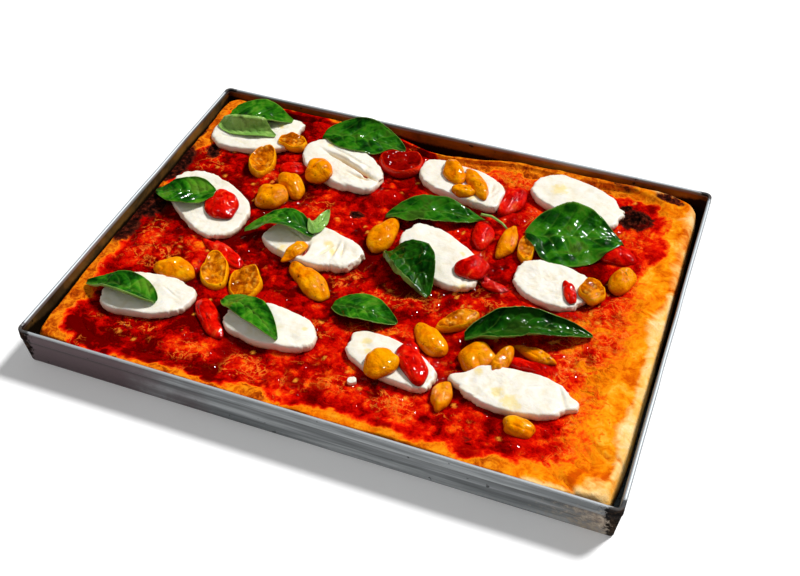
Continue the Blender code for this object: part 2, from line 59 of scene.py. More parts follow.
# Only what lies closer to the rim's edge than this is dented.
DENTS_END = 2.7
TRAY_FLOOR = 1.0

# Dough and sauce outlines, as in the solids. Their dents are x, y, depth and reach.
DOUGH_HALF = (195.6, 145.6)
DOUGH_CENTRE = (-0.4, 0.0)
DOUGH_CORNER = 9.0
DOUGH_FOOT = 1.3
FOOT_INSET = 4.0
# Heights of the dough under the sauce, at its edge and in the middle.
UNDER_SAUCE = (17.9, 17.4)
EDGE_DENTS = (
    (-6, 147, 14, 26), (-40, 147, 4, 16), (30, 147, 6, 18), (-197, 142, 2, 22), (-197, -140, 2.5, 26),
    (197, 150, 4, 22), (197, -146, 4, 24), (60, -147, 1.5, 40), (-80, -147, 1.5, 30),
)
SAUCE_CENTRE = (-7.0, 4.0)
SAUCE_HALF = (176.0, 136.0)
SAUCE_CORNER = 30.0
SAUCE_FOOT = 17.8
SAUCE_HEIGHT = 20.4
SAUCE_CELLS = (300, 230)
EDGE_RISE = 0.8
RIM_HEIGHT = 22.4
# The sauce counts as this far inside the dough's edge, out of reach of the pale strip.
FAR_INSIDE = 30.0
SAUCE_DENTS = (
    (168, -115, 9, 40), (-184, -110, 4, 40), (-5, 142, 10, 30), (168, 100, 5, 40), (60, -133, 4, 60),
)
# Tomatoes sunk in the sauce: x, y, height, half length, half width, turn.
SAUCE_HUMPS = (
    (-28, 72, 3.5, 16, 11, 10), (-61, -59, 3.0, 16, 11, -20), (128, 16, 2.2, 13, 9, 0),
    (125, -112, 3.0, 17, 9, -25), (131, -2, 2.5, 13, 5, 10), (36, -57, 2.0, 13, 11, 0),
    (-109, 137, 2.5, 13, 7, -20), (72, 82, 2.2, 12, 8, 20), (150, 8, 2.0, 9, 6, 30),
    (154, 108, 2.5, 11, 9, 0), (-160, -40, 2.0, 16, 11, 40), (100, -20, 1.5, 14, 9, 0),
    (126, -55, 3.0, 15, 7, -8),
)
# The lowest of them whose skin shows.
SHOWING_HUMP = 2.2
# Places where the sauce is thin and the orange dough shows: x, y, half length, half width, turn, strength.
THIN_SAUCE = (
    (-70, -119, 58, 10, -3, 0.65), (-150, -38, 26, 16, 20, 0.75), (22, -24, 44, 12, 5, 0.75),
    (148, -30, 22, 46, 0, 1.0), (80, -114, 16, 7, 0, 0.6), (60, 124, 30, 9, 0, 0.8),
    (156, 88, 12, 14, 0, 0.7), (-90, -36, 20, 10, 0, 0.5), (-172, 68, 12, 24, 0, 0.9),
    (0, -110, 30, 12, 0, 0.75), (-75, 45, 30, 9, 0, 0.5), (75, -4, 22, 14, 0, 0.8),
    (150, -75, 16, 30, 0, 0.9), (-120, -108, 26, 8, 0, 0.6), (20, -62, 30, 9, 0, 0.55),
    (50, -114, 26, 10, 0, 0.7), (-172, -24, 10, 20, 0, 0.6), (85, 85, 14, 9, 0, 0.6),
    (-20, -16, 22, 9, 0, 0.7), (60, 28, 9, 14, 0, 0.4), (-18, -70, 14, 12, 0, 0.6),
    (160, 32, 12, 18, 0, 0.7), (-150, -112, 20, 7, 0, 0.5), (-40, 128, 14, 6, 0, 0.5),
    (96, 128, 26, 7, -8, 0.7), (-120, 60, 14, 10, 0, 0.4),
)
PULP_PIECES = 1500
PULP_SPREAD = ((-190, 184), (-140, 143))
SEEDS = 150
SEED_SPREAD = ((-170, 165), (-125, 135))
# Burnt places on the crust and the sauce, in the same order. The first two are raised blisters.
BURNT = (
    (152, 110, 11, 10.5, -8, 1.6), (143, 122, 5, 4, 20, 1.1), (171, 139, 13, 5, -12, 0.8),
    (-42, 46, 7, 5, 0, 0.9), (-190, 4, 11, 15, -10, 2.2), (-178, 14, 13, 7, 15, 1.9),
    (-194, 52, 8, 20, 0, 2.0), (-190, -28, 6, 16, 0, 1.3), (-176, 78, 6, 9, 20, 1.1),
    (-172, -92, 8, 8, 0, 0.6), (135, 142, 20, 3, -5, 0.5), (-150, 146, 24, 3, 0, 0.6),
    (100, -124, 10, 4, -10, 0.4), (-196, 95, 5, 14, 0, 0.8),
)

# The toppings below stand in the order of their numbers, from 1.
# Seeds for each kind's random draws, to which a piece's own number is added.
SLICE_DRAWS = 100
TOMATO_DRAWS = {"yellow": 300, "red": 350}
LEAF_DRAWS = 500

# Slices: x, y, length, width, turn, height, and points or waists as angle, amount and spread.
MOZZARELLA = (
    (-152, 105, 70, 40, 18, 7, ((38, 0.2, 22), (-10, -0.12, 20), (-70, 0.08, 30))),
    (-71, 91, 68, 44, -15, 8, ((160, 0.1, 25), (-25, 0.12, 30), (50, -0.1, 25))),
    (-145, 15, 80, 46, -33, 7, ((20, -0.1, 30), (-60, 0.08, 30), (180, 0.08, 30))),
    (-56, -1, 70, 39, -10, 8, ((35, 0.12, 25), (-140, 0.12, 25), (-50, -0.12, 20))),
    (-141, -85, 62, 38, 6, 7, ((-120, 0.14, 30), (20, 0.08, 25), (150, -0.08, 30))),
    (-51, -84, 66, 32, -3, 7, ((60, 0.12, 30), (180, -0.05, 30), (-20, 0.1, 30))),
    (36, -84, 62, 32, -12, 7, ((150, 0.14, 30), (60, -0.16, 30), (-30, 0.08, 30))),
    (21, 103, 68, 37, -12, 8, ((-30, 0.22, 18), (160, 0.08, 30), (90, -0.06, 30))),
    (107, 112, 71, 41, -18, 7, ((120, 0.1, 30), (-30, 0.06, 30), (-100, -0.08, 30))),
    (33, 19, 71, 39, -32, 8, ((35, -0.16, 20), (60, 0.1, 25), (150, 0.06, 30))),
    (115, 20, 57, 39, -8, 7, ((30, 0.08, 25), (-20, -0.16, 22), (-90, 0.06, 30))),
    (117, -82, 69, 33, 3, 7, ((0, 0.22, 12), (180, 0.22, 12), (80, 0.06, 30))),
    (18.5, -107, 6, 5, 20, 3.5, ()),
)
SLICE_RINGS = 60
SLICE_SECTORS = 180
SLICE_FULLNESS = 0.82
# The slices' edge, from the top down: share of the outline, share of the height.
SLICE_EDGE = (
    (0.905, 0.972), (0.925, 0.968), (0.943, 0.958), (0.958, 0.94), (0.971, 0.91), (0.982, 0.865),
    (0.99, 0.8), (0.996, 0.72), (1.0, 0.62), (1.002, 0.52), (1.001, 0.42), (0.998, 0.32), (0.993, 0.22),
    (0.986, 0.12), (0.978, 0.04), (0.965, 0.0),
)
# Cuts and folds in the slices, in a slice's own axes: along, across, half length, half width, turn, height.
SLICE_MARKS = {
    1: ((-22, -6, 7, 1.4, -20, -0.8),),
    2: (
        (8, 1, 24, 1.5, -6, -5.0), (0, 5, 20, 2.6, -5, 1.3), (20, -6, 9, 1.4, 8, -2.2),
        (22, -1, 5, 2.2, -50, -2.2), (-2, 9.5, 18, 1.2, -5, -1.4),
    ),
    3: ((18, 6, 8, 1.2, 30, -0.8), (-20, -6, 7, 1.6, 10, -0.9)),
    4: (
        (0, -9, 2.0, 7, 12, -5.0), (13, -1, 1.5, 9, -14, -2.2), (18, 1, 1.5, 9, 12, -2.0),
        (23, 3, 1.5, 7, 22, -1.8), (15.5, 0, 1.4, 8, -2, 0.9), (20.5, 2, 1.4, 8, 16, 0.9),
        (-16, 2, 10, 1.2, -20, -0.8),
    ),
    5: ((24, -8, 6, 3, 20, -0.9), (18, 2, 8, 0.9, -30, -0.7)),
    6: ((-24, 4, 8, 3, 0, -1.0), (22, -6, 5, 3, 0, -0.8)),
    7: ((-20, 0, 4, 4, 0, -0.8), (2, 3, 6, 1.0, 30, -0.6)),
    8: ((24, 3, 1.6, 6, 20, -1.2), (28, -1, 1.4, 6, -10, -1.0)),
    10: ((30, 9, 1.6, 8, 10, -2.5), (26, 3, 1.3, 7, 25, -1.4), (28, 6, 1.4, 7, 18, 1.0)),
    12: ((30, 1, 1.4, 9, 24, -1.2), (-28, 0, 3, 6, 0, -0.9), (12, 6, 9, 1.0, 24, -0.5)),
}
# Where oil has run yellow on the slices: x, y, radius.
OIL_SPOTS = {
    1: ((-136, 118, 4),), 2: ((-88, 108, 4),), 4: ((-44, 2, 5), (-38, -4, 4), (-73, -14, 5)),
    6: ((-26, -80, 3),), 7: ((16, -76, 5), (20, -84, 4)), 8: ((34, 88, 8),), 9: ((92, 118, 9),),
    10: ((48, 24, 3), (58, -8, 8)), 12: ((92, -75, 4), (108, -88, 6), (118, -93, 9)),
}

# Tomatoes: x, y, length, width, turn, height, and where not 0 the scoop's depth and slopes along x and y.
YELLOW_TOMATOES = (
    (-119, 104, 25, 17, 0, 8, 3, 0, 0.05), (-132, 76, 34, 20, 98, 11, 5, -0.2, 0.1),
    (-107, 40, 26, 24, 80, 11), (-99, 56, 29, 19, -40, 11, 0, 0, 0.1), (-84, 74, 24, 22, 90, 10),
    (-135, -56, 30, 21, 0, 10), (-109, -48, 34, 20, -62, 9, 4, 0.1, 0.25),
    (-84, -51, 32, 22, -66, 8, 3, 0.15, 0.3), (-43, -33, 42, 19, -32, 8, 0, 0, 0.1),
    (-13, 30, 38, 20, 85, 10), (13, 108, 28, 17, -55, 7, 0, 0, 0.1), (33, 101, 34, 14, -50, 7, 0, 0.1, 0.1),
    (72, 52, 32, 13, 86, 9), (87, 49, 29, 12, 100, 9, 3, 0.1), (157, 42, 25, 18, 80, 9),
    (141, 20, 21, 18, 80, 7, 1.2), (64, -35, 29, 14, 45, 8, 2, 0, 0.1), (53, -57, 30, 17, -42, 9),
    (32, -92, 23, 21, 80, 9), (86, -62, 26, 22, 80, 10, 0, 0, 0.1), (102, -63, 27, 12, 75, 9, 0, 0, 0.1),
    (120, -45, 27, 10, -12, 6), (75, -98, 24, 13, 95, 8), (127, -107, 20, 15, -10, 8),
    (27, 90, 21, 12, 10, 6), (-63, -14, 24, 10, 68, 5),
)
RED_TOMATOES = (
    (-106, 78, 25, 17, 20, 6), (-30, 111, 35, 27, 15, 11, 4, 0, 0.1), (61, 98, 35, 22, 80, 8),
    (-135, 13, 32, 25, -60, 7), (-113, -27, 42, 13, -25, 5), (-92, -88, 40, 15, -45, 6),
    (53, 55, 31, 16, 100, 8), (58, 13, 26, 20, 60, 8), (147, 67, 29, 19, -10, 7), (51, -86, 34, 17, -50, 8),
    (127, 13, 22, 9, -62, 4), (39, -66, 26, 11, -20, 3), (75, 8, 24, 9, -8, 4), (112, -56, 30, 9, -6, 4),
)
# Their points and waists: angle in the piece's own axes, amount, spread.
TOMATO_LOBES = {
    "yellow": {
        3: ((150, 0.12, 20), (-90, -0.06, 30)), 6: ((180, 0.06, 22), (60, -0.03, 30)),
        8: ((90, 0.1, 24), (180, -0.1, 30), (-30, 0.08, 20)),
        9: ((90, -0.14, 30), (180, 0.1, 24), (-60, 0.06, 30)),
        10: ((50, -0.26, 34), (-50, -0.22, 32), (180, 0.06, 50), (110, 0.1, 30)),
        11: ((0, 0.1, 20), (90, -0.08, 30)), 12: ((180, 0.12, 20), (0, 0.08, 20)),
        13: ((0, 0.14, 20), (180, 0.08, 24), (90, -0.08, 30)), 15: ((90, -0.14, 34), (180, 0.06, 30)),
        16: ((45, 0.12, 20), (-45, 0.1, 20), (140, 0.12, 20), (-140, 0.1, 20)),
        17: ((0, 0.12, 20), (180, 0.08, 18), (-90, -0.08, 30)), 18: ((180, 0.1, 25), (90, 0.06, 30)),
        19: ((45, 0.1, 22), (-45, 0.08, 22), (180, 0.06, 30)),
        20: ((20, 0.1, 22), (-70, 0.12, 22), (110, 0.1, 20), (180, -0.06, 30)),
        21: ((0, 0.16, 16), (180, 0.14, 18), (90, -0.05, 30)),
        22: ((0, 0.12, 14), (180, 0.1, 16), (90, 0.16, 22)), 23: ((180, 0.14, 20), (90, -0.08, 34)),
        24: ((-120, 0.1, 18), (40, 0.05, 30)),
    },
    "red": {
        3: ((60, 0.08, 24), (-60, -0.08, 30)), 4: ((30, 0.08, 20), (120, 0.08, 20), (-70, -0.08, 24)),
        8: ((-90, 0.12, 24), (90, -0.06, 30)), 9: ((180, 0.12, 24), (90, 0.08, 20)),
        10: ((180, 0.1, 20), (0, -0.05, 30)),
    },
}
CREASE_DEPTHS = {"yellow": 1.4, "red": 2.2}
TOMATO_RINGS = 30
TOMATO_SECTORS = 60

# Leaves: stalk x, y, tip x, y, width, lift, arch, left and right side's upward turn, sideways bow.
BASIL = (
    (-188, 119, -130, 127, 43, 0.9, 3, (18, 45), 2), (-102, 126, -34, 128, 41, 2.0, 3.5, (32, -15), 0),
    (-143, 19, -191, 15, 30, 1.0, 2, (20, 20), 2), (-57, 4, -108, -3, 24, 2.0, 6, (30, 30), -7),
    (-129, -93, -185, -90, 27, 1.0, 3, (70, 25), -2), (-90, -71, -38, -97, 22, 1.0, 3, (20, 35), 3),
    (-20, -47, 27, -50, 28, 1.0, 3, (15, 25), 0), (-3, 15, 37, -19, 40, 1.0, 4, (35, 45), 1),
    (-20, 50, 50, 69, 27, 1.5, 4, (30, 20), 3), (82, 63, 150, 79, 54, 0.8, 4.5, (30, -25), 0),
    (73, -47, 151, -17, 34, 1.5, 5, (60, 60), 3), (-59, 4, -60, 38, 12, 3.5, 1, (20, 20), 0),
    (-184, 104, -135, 105, 20, 0.0, 0.2, (8, 12), 0),
)
# Leaves that lie with their pale underside up.
PALE_LEAVES = (12, 13)
# Folded edges: side (1 left of the way from stalk to tip, -1 right), where the fold starts, degrees.
LEAF_FOLDS = {
    3: (-1, 0.8, 50), 11: (1, 0.7, 70), 8: (-1, 0.6, 70), 5: (1, 0.75, 60), 7: (-1, 0.8, 40),
    2: (1, 0.85, 40),
}
# How much darker the shaded and rolled leaves are painted, in patches: painted shade.
DARK_LEAVES = {8: 0.5, 11: 0.5, 10: 0.15, 2: 0.2, 9: 0.25}
# How crumpled the leaves are, millimetres.
LEAF_CRUMPLE = {8: 3.2, 9: 1.6, 10: 1.9, 2: 1.4, 11: 2.4, 7: 1.0, 12: 0.0, 13: 0.0}
LEAF_THICKNESS = 0.5
# Steps along a leaf, and from its midrib to each side.
LEAF_STEPS = (84, 26)
# Points along the bare stalk.
STALK = ((47, 68, 29), (55, 68, 29.5), (64, 65, 28), (73, 59, 25))
# Radius of the domes that stand for beads of oil and juice, metres.
BEAD_RADIUS = 0.005

# The height map's grid covers the whole tray.
MAP_STEP = 0.5
MAP_HALF = (200, 150)
MAP_COUNTS = tuple(int(2 * half / MAP_STEP) + 1 for half in MAP_HALF)

FLOOR_REACH = 40.0
FLOOR_DROP = -0.0005
CAMERA_PLACE = (0.2125, -0.5265, 0.5456)
CAMERA_TURN = (46.159, 0.208, 20.830)
CAMERA_LENS = 49.85
SENSOR_WIDTH = 36.0
KEY_FROM = (0.50, 0.62, 1.0)
FILL_FROM = (-0.9, -0.6, 0.8)


def turned(x, y, degrees):
    c = math.cos(math.radians(degrees))
    s = math.sin(math.radians(degrees))
    return x * c - y * s, x * s + y * c


def oval_span(x, y, at_x, at_y, long, wide, turn):
    """Squared distance from the middle of a turned oval, 1 on its edge."""
    along, across = turned(x - at_x, y - at_y, -turn)
    return (along / long) ** 2 + (across / wide) ** 2


def tint(red, green, blue):
    """A colour on the screen, 0 to 255, as the linear values that shaders take."""
    shares = (part / 255 for part in (red, green, blue))
    return tuple(((v + 0.055) / 1.055) ** 2.4 if v > 0.0405 else v / 12.92 for v in shares)


def ease(low, high, value):
    """0 below low, 1 above high and smooth between."""
    share = np.clip((value - low) / (high - low), 0, 1)
    return share * share * (3 - 2 * share)


def crossing_waves(x, y, scale, seed):
    """The solids' gentle bumpiness, repeated here so that both have the same broad form."""
    draw = np.random.default_rng(seed)
    total = np.zeros_like(x)
    waves = 7
    for _ in range(waves):
        angle, phase = draw.uniform(0, 2 * math.pi, 2)
        pitch = scale * draw.uniform(0.7, 1.5)
        total = total + np.sin(2 * math.pi * (x * math.cos(angle) + y * math.sin(angle)) / pitch + phase)
    return total / math.sqrt(2 * waves)


def lattice_noise(x, y, scale, seed):
    """Smooth random bumps of one size, between -1 and 1."""
    size = 64
    table = np.random.default_rng(seed).uniform(-1, 1, (size, size))
    u, v = x / scale + 1000, y / scale + 1000
    i, j = np.floor(u).astype(int), np.floor(v).astype(int)
    fu, fv = ease(0, 1, u - i), ease(0, 1, v - j)
    i, j, i1, j1 = i % size, j % size, (i + 1) % size, (j + 1) % size
    low = table[i, j] * (1 - fu) + table[i1, j] * fu
    high = table[i, j1] * (1 - fu) + table[i1, j1] * fu
    return low * (1 - fv) + high * fv


def cloud(x, y, scale, seed, octaves=4, gain=0.5):
    """Bumps on bumps, from scale downwards, mostly between -1 and 1."""
    return sum(
        gain**octave * lattice_noise(x, y, scale / 2**octave, seed + 17 * octave) for octave in range(octaves)
    )


def ridges(x, y, scale, seed, octaves=3):
    """Thin raised lines between smooth hollows, from 0 to about 1."""
    weights = [0.5**octave for octave in range(octaves)]
    lines = [(1 - np.abs(lattice_noise(x, y, scale * w, seed + 31 * k))) ** 3 for k, w in enumerate(weights)]
    return sum(w * line for w, line in zip(weights, lines)) / sum(weights)


def ovals(x, y, places):
    """The strongest of several soft oval patches at each point."""
    strongest = np.zeros_like(x)
    for at_x, at_y, long, wide, turn, strength in places:
        patch = strength * np.exp(-oval_span(x, y, at_x, at_y, long, wide, turn))
        strongest = np.maximum(strongest, patch)
    return strongest


def add_piece(name, points, faces, look, stands_for, values, sharp=None):
    """One mesh piece from points in millimetres, riding on the object's one body."""
    mesh = bpy.data.meshes.new(name)
    mesh.from_pydata((np.asarray(points) * MM).tolist(), [], faces)
    mesh.shade_smooth()
    if sharp:
        mesh.set_sharp_from_angle(angle=math.radians(sharp))
    for key, numbers in values.items():
        layer = mesh.attributes.new(key, "FLOAT", "POINT")
        layer.data.foreach_set("value", np.asarray(numbers, dtype=np.float32))
    mesh.materials.append(look)
    made = bpy.data.objects.new(name, mesh)
    bpy.context.scene.collection.objects.link(made)
    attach(made, "root")
    if stands_for:
        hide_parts(*stands_for)


def solid_of(kind, number):
    """The solid that a topping replaces, if it has one."""
    return [f"{kind}_{number}"] if number <= SOLIDS[kind] else []


def fan(centre, ring):
    ring = np.asarray(ring)
    return np.stack([np.full(len(ring), centre), ring, np.roll(ring, -1)], axis=1).tolist()


def strip(outer, inner):
    """Quads between two closed rings, facing up when both run anticlockwise."""
    outer, inner = np.asarray(outer), np.asarray(inner)
    return np.stack([outer, np.roll(outer, -1), np.roll(inner, -1), inner], axis=1).tolist()


def bands(outer_rings, inner_rings):
    return [face for pair in zip(outer_rings, inner_rings) for face in strip(*pair)]


def flipped(faces):
    return [face[::-1] for face in faces]


def grid_faces(rows, columns):
    """Quads of a grid of points, and the numbers of the points on its edge, anticlockwise."""
    number = np.arange(rows * columns).reshape(rows, columns)
    quads = np.stack([number[:-1, :-1], number[1:, :-1], number[1:, 1:], number[:-1, 1:]], axis=-1)
    rim = np.concatenate([number[:-1, 0], number[-1, :-1], number[:0:-1, -1], number[0, :0:-1]])
    return quads.reshape(-1, 4), rim


def points_of(x, y, z):
    return np.stack([x.ravel(), y.ravel(), z.ravel()], axis=1)


def between(layer, x, y):
    """A map layer's values between its cells."""
    across = np.clip((x + MAP_HALF[0]) / MAP_STEP, 0, layer.shape[1] - 1.001)
    up = np.clip((y + MAP_HALF[1]) / MAP_STEP, 0, layer.shape[0] - 1.001)
    i, j = up.astype(int), across.astype(int)
    fi, fj = up - i, across - j
    low = layer[i, j] * (1 - fj) + layer[i, j + 1] * fj
    high = layer[i + 1, j] * (1 - fj) + layer[i + 1, j + 1] * fj
    return low * (1 - fi) + high * fi


class HeightMap:
    """The highest surface so far, on which the next piece is laid."""

    def __init__(self):
        x, y = (np.linspace(-half, half, count) for half, count in zip(MAP_HALF, MAP_COUNTS))
        self.high = sauce_top(*np.meshgrid(x, y))
        self.bare = self.high.copy()

    def places(self, x, y):
        column, row = (
            np.clip(np.rint((place + half) / MAP_STEP).astype(int), 0, count - 1)
            for place, half, count in zip((x, y), MAP_HALF, MAP_COUNTS)
        )
        return row, column

    def at(self, x, y):
        return self.high[self.places(x, y)]

    def smooth_at(self, x, y, reach):
        """The height averaged over a few points round each place."""
        total = self.at(x, y)
        for step in range(8):
            angle = math.pi / 4 * step
            total = total + self.at(x + reach * math.cos(angle), y + reach * math.sin(angle))
        return total / 9

    def nearness(self):
        """How near each cell is to the foot of a topping, from 0 to 1."""
        near = (self.high > self.bare + 1.0).astype(float)
        for reach in (1, 2, 3, 4):
            near = (near + sum(np.roll(near, step, axis) for step in (-reach, reach) for axis in (0, 1))) / 5
        return near

    def add(self, points):
        fresh = np.full_like(self.high, -1.0)
        np.maximum.at(fresh, self.places(points[:, 0], points[:, 1]), points[:, 2])
        for down in (-1, 0, 1):
            for across in (-1, 0, 1):
                self.high = np.maximum(self.high, np.roll(fresh, (down, across), axis=(0, 1)))


class Pulp:
    """Pieces of tomato pulp and seeds strewn over the sauce, in layers on the map's grid."""

    def __init__(self):
        shape = MAP_COUNTS[::-1]
        self.high = np.zeros(shape)
        self.tone = np.full(shape, 0.5)
        self.seed = np.zeros(shape)
        draw = np.random.default_rng(77)
        for _ in range(PULP_PIECES):
            long = draw.uniform(1.8, 3.2) + draw.exponential(1.5)
            wide = long * draw.uniform(0.35, 0.75)
            place = draw.uniform(*PULP_SPREAD[0]), draw.uniform(*PULP_SPREAD[1])
            self.strew(place, long, wide, draw.uniform(0, 180), draw.uniform(0.3, 1.1), draw.uniform(0, 1))
        for _ in range(SEEDS):
            place = draw.uniform(*SEED_SPREAD[0]), draw.uniform(*SEED_SPREAD[1])
            self.strew(place, 1.7, 1.2, draw.uniform(0, 180), 0.5, 0.3, 1.0)

    def strew(self, place, long, wide, turn, high, tone, seed=0.0):
        reach = int(long / MAP_STEP) + 2
        column, row = (int((at + half) / MAP_STEP) for at, half in zip(place, MAP_HALF))
        rows = slice(max(row - reach, 0), row + reach + 1)
        columns = slice(max(column - reach, 0), column + reach + 1)
        part = self.high[rows, columns]
        y, x = np.mgrid[rows, columns][:, : part.shape[0], : part.shape[1]] * MAP_STEP
        along, across = turned(x - MAP_HALF[0] - place[0], y - MAP_HALF[1] - place[1], -turn)
        across = across + 0.05 * along**2 * (tone - 0.5)
        dome = high * np.sqrt(np.clip(1 - (along / long) ** 2 - (across / wide) ** 2, 0, 1))
        higher = dome > part
        part[higher] = dome[higher]
        self.tone[rows, columns][higher] = tone
        self.seed[rows, columns][higher] = seed


PULP = Pulp()


def rounded(u, v, centre, half, corner, dents, wobble, seed):
    """Points of a rounded rectangle's edge that belong to points (u, v) of the square's edge."""
    x, y = half[0] * u, half[1] * v
    core_x = np.clip(x, corner - half[0], half[0] - corner)
    core_y = np.clip(y, corner - half[1], half[1] - corner)
    out_x, out_y = x - core_x, y - core_y
    size = np.hypot(out_x, out_y)
    out_x, out_y = out_x / size, out_y / size
    x, y = core_x + corner * out_x + centre[0], core_y + corner * out_y + centre[1]
    inward = wobble * (1 + crossing_waves(x, y, 55, seed))
    for dent_x, dent_y, depth, reach in dents:
        inward = inward + depth * np.exp(-oval_span(x, y, dent_x, dent_y, reach, reach, 0))
    return x - out_x * inward, y - out_y * inward


def sauce_edge(u, v):
    return rounded(u, v, SAUCE_CENTRE, SAUCE_HALF, SAUCE_CORNER, SAUCE_DENTS, 1.6, 3)


def dough_edge(u, v):
    return rounded(u, v, DOUGH_CENTRE, DOUGH_HALF, DOUGH_CORNER, EDGE_DENTS, 0.4, 5)


def sunk_tomatoes(x, y, least=0.0):
    """The height that tomatoes under the sauce add to it, and the strongest of their patches."""
    height, strongest = 0.0, np.zeros_like(x)
    for hump_x, hump_y, high, *oval in SAUCE_HUMPS:
        if high >= least:
            patch = np.exp(-1.2 * oval_span(x, y, hump_x, hump_y, *oval))
            height = height + high * patch
            strongest = np.maximum(strongest, patch)
    return height, strongest


def sauce_detail(x, y):
    """Pulp, folds and fibres of the sauce."""
    folds = 0.8 * cloud(x, y, 17, 61, 3) + 0.55 * (ridges(x, y, 10, 67, 3) - 0.4)
    return 1.25 * folds + 1.3 * between(PULP.high, x, y) * (0.6 + 0.6 * cloud(x, y, 30, 69, 2)) - 0.3


def sauce_top(x, y):
    """The sauce's surface: broad swells, sunk tomatoes, pulp and fibres, and a blister."""
    swell = SAUCE_HEIGHT + 0.35 * crossing_waves(x, y, 48, 11) + 0.25 * crossing_waves(x, y, 24, 12)
    humps, strongest = sunk_tomatoes(x, y)
    detail = sauce_detail(x, y) * (1 - 0.8 * ease(0.45, 0.8, strongest))
    return swell + humps + detail + 2.2 * ovals(x, y, BURNT[:2]) * (0.3 + cloud(x, y, 4, 71, 3))


def border_square(across, up):
    """Points round the edge of the square from -1 to 1, anticlockwise from its lower left corner."""
    run_x, run_y = np.arange(across) / across * 2 - 1, np.arange(up) / up * 2 - 1
    u = np.concatenate([run_x, np.ones(up), -run_x, -np.ones(up)])
    v = np.concatenate([-np.ones(across), run_y, np.ones(across), -run_y])
    return u, v


def sauce_cover(x, y, beyond, right, front, back):
    """Where sauce lies at all, from 0 to 1: it stops further out on some sides than on others."""
    left = ease(-150, -176, x)
    low_right = right * ease(60, 20, y)
    strayed = beyond + 4 * cloud(x, y, 34, 91, 2) + 4.5 * cloud(x, y, 11, 93, 3)
    end = 1 + 12 * left * ease(-40, -5, y) * ease(90, 60, y) + 10 * front - 5 * low_right
    end = end + 13 * right * ease(50, 80, y) * ease(146, 128, y) + back * (3 - 12 * ease(-40, 20, x))
    return 1 - ease(-0.7, 1.0, (strayed - end) / (6 + 26 * low_right + 3 * left))


def sauce_level(x, y):
    """The sauce's level on its colour ramp before the thin places are taken off: deeper red towards the left,
    the front left and in an oval at the front right, lighter towards the right, the back and the front's
    right half.
    """
    level = 0.70 + 0.16 * ease(-80, -150, x) - 0.07 * ease(20, 150, x) - 0.06 * ease(60, 110, y)
    level = level + 0.16 * np.exp(-oval_span(x, y, 118, -108, 44, 18, 0))
    level = level + 0.09 * ease(-40, -100, x) * ease(-60, -100, y)
    return level - 0.06 * ease(-80, -110, y) * ease(-60, 0, x)


def surface_values(x, y, beyond, to_edge, near):
    """What the sauce and the dough share: how much sauce lies, with painted shade in its hollows and round
    the toppings, and how pale or burnt the dough is.

    beyond is how far a point lies outside the sauce's edge, and is negative inside it. to_edge is how
    far it lies inside the dough's own edge. near is how near the foot of a topping is.
    """
    right = ease(125, 160, x)
    front = ease(-95, -122, y) * (1 - 0.6 * right)
    back = ease(105, 125, y) * (1 - 0.5 * right)
    cover = sauce_cover(x, y, beyond, right, front, back)
    thin = np.clip(ovals(x, y, THIN_SAUCE) * (0.85 + 0.7 * cloud(x, y, 14, 95, 3)), 0, 1)
    patchy = 0.13 * cloud(x, y, 26, 101, 2) + 0.10 * cloud(x, y, 7, 103, 3, 0.6)
    detail = sauce_detail(x, y)
    strands = ridges(x + 0.4 * y, y, 7.5, 105, 2) ** 5
    bare = np.clip(thin + 0.5 * (1 - cover), 0, 1)
    sauce_amount_and_shade = sauce_level(x, y) + 1.3 * patchy - 0.30 * thin - 0.24 * (between(PULP.tone, x, y) - 0.5)
    # Below, darker in the sauce's hollows and round the toppings' feet: sauce and juice gather there, and
    # painted shade is added.
    sauce_amount_and_shade = sauce_amount_and_shade - 0.45 * strands * (0.2 + bare) - 0.16 * np.clip(detail, -0.8, 0.8)
    sauce_amount_and_shade = np.maximum(sauce_amount_and_shade, 0.30 + 0.06 * front - 0.16 * right * ease(60, 20, y)) + 0.16 * near
    sauce_amount_and_shade = sauce_amount_and_shade * cover - 0.12 * (1 - cover)
    pale_edge = np.exp(-((np.maximum(to_edge - 2, 0) / (8 + 2.5 * cloud(x, y, 14, 97, 3))) ** 2))
    pale_corner = 0.65 * ease(162, 190, x) * ease(-100, -134, y)
    # The creases in the front right corner are painted toasted and less pale: painted crease shade, and
    # browning along the folds.
    folds = corner_folds(x, y)
    cream = right * np.maximum(pale_edge * (0.45 + 0.55 * ease(45, 0, y)), pale_corner) * (1 - 0.7 * folds)
    toast = np.maximum(0.9 * back, 0.85 * ease(-150, -176, x)) + front * (0.55 + 0.35 * ease(40, -120, x))
    return {
        "sauce_amount_and_shade": sauce_amount_and_shade,
        "thin": bare * ease(0.15, 0.35, sauce_amount_and_shade),
        "cream": cream,
        "toast": toast * (1 - 0.8 * right * (y < 90)) + 0.8 * folds,
        "burnt": ovals(x, y, BURNT),
        "relief": detail,
        "seed": between(PULP.seed, x, y) * cover,
        "wet": ease(0.2, 0.55, sauce_amount_and_shade),
    }


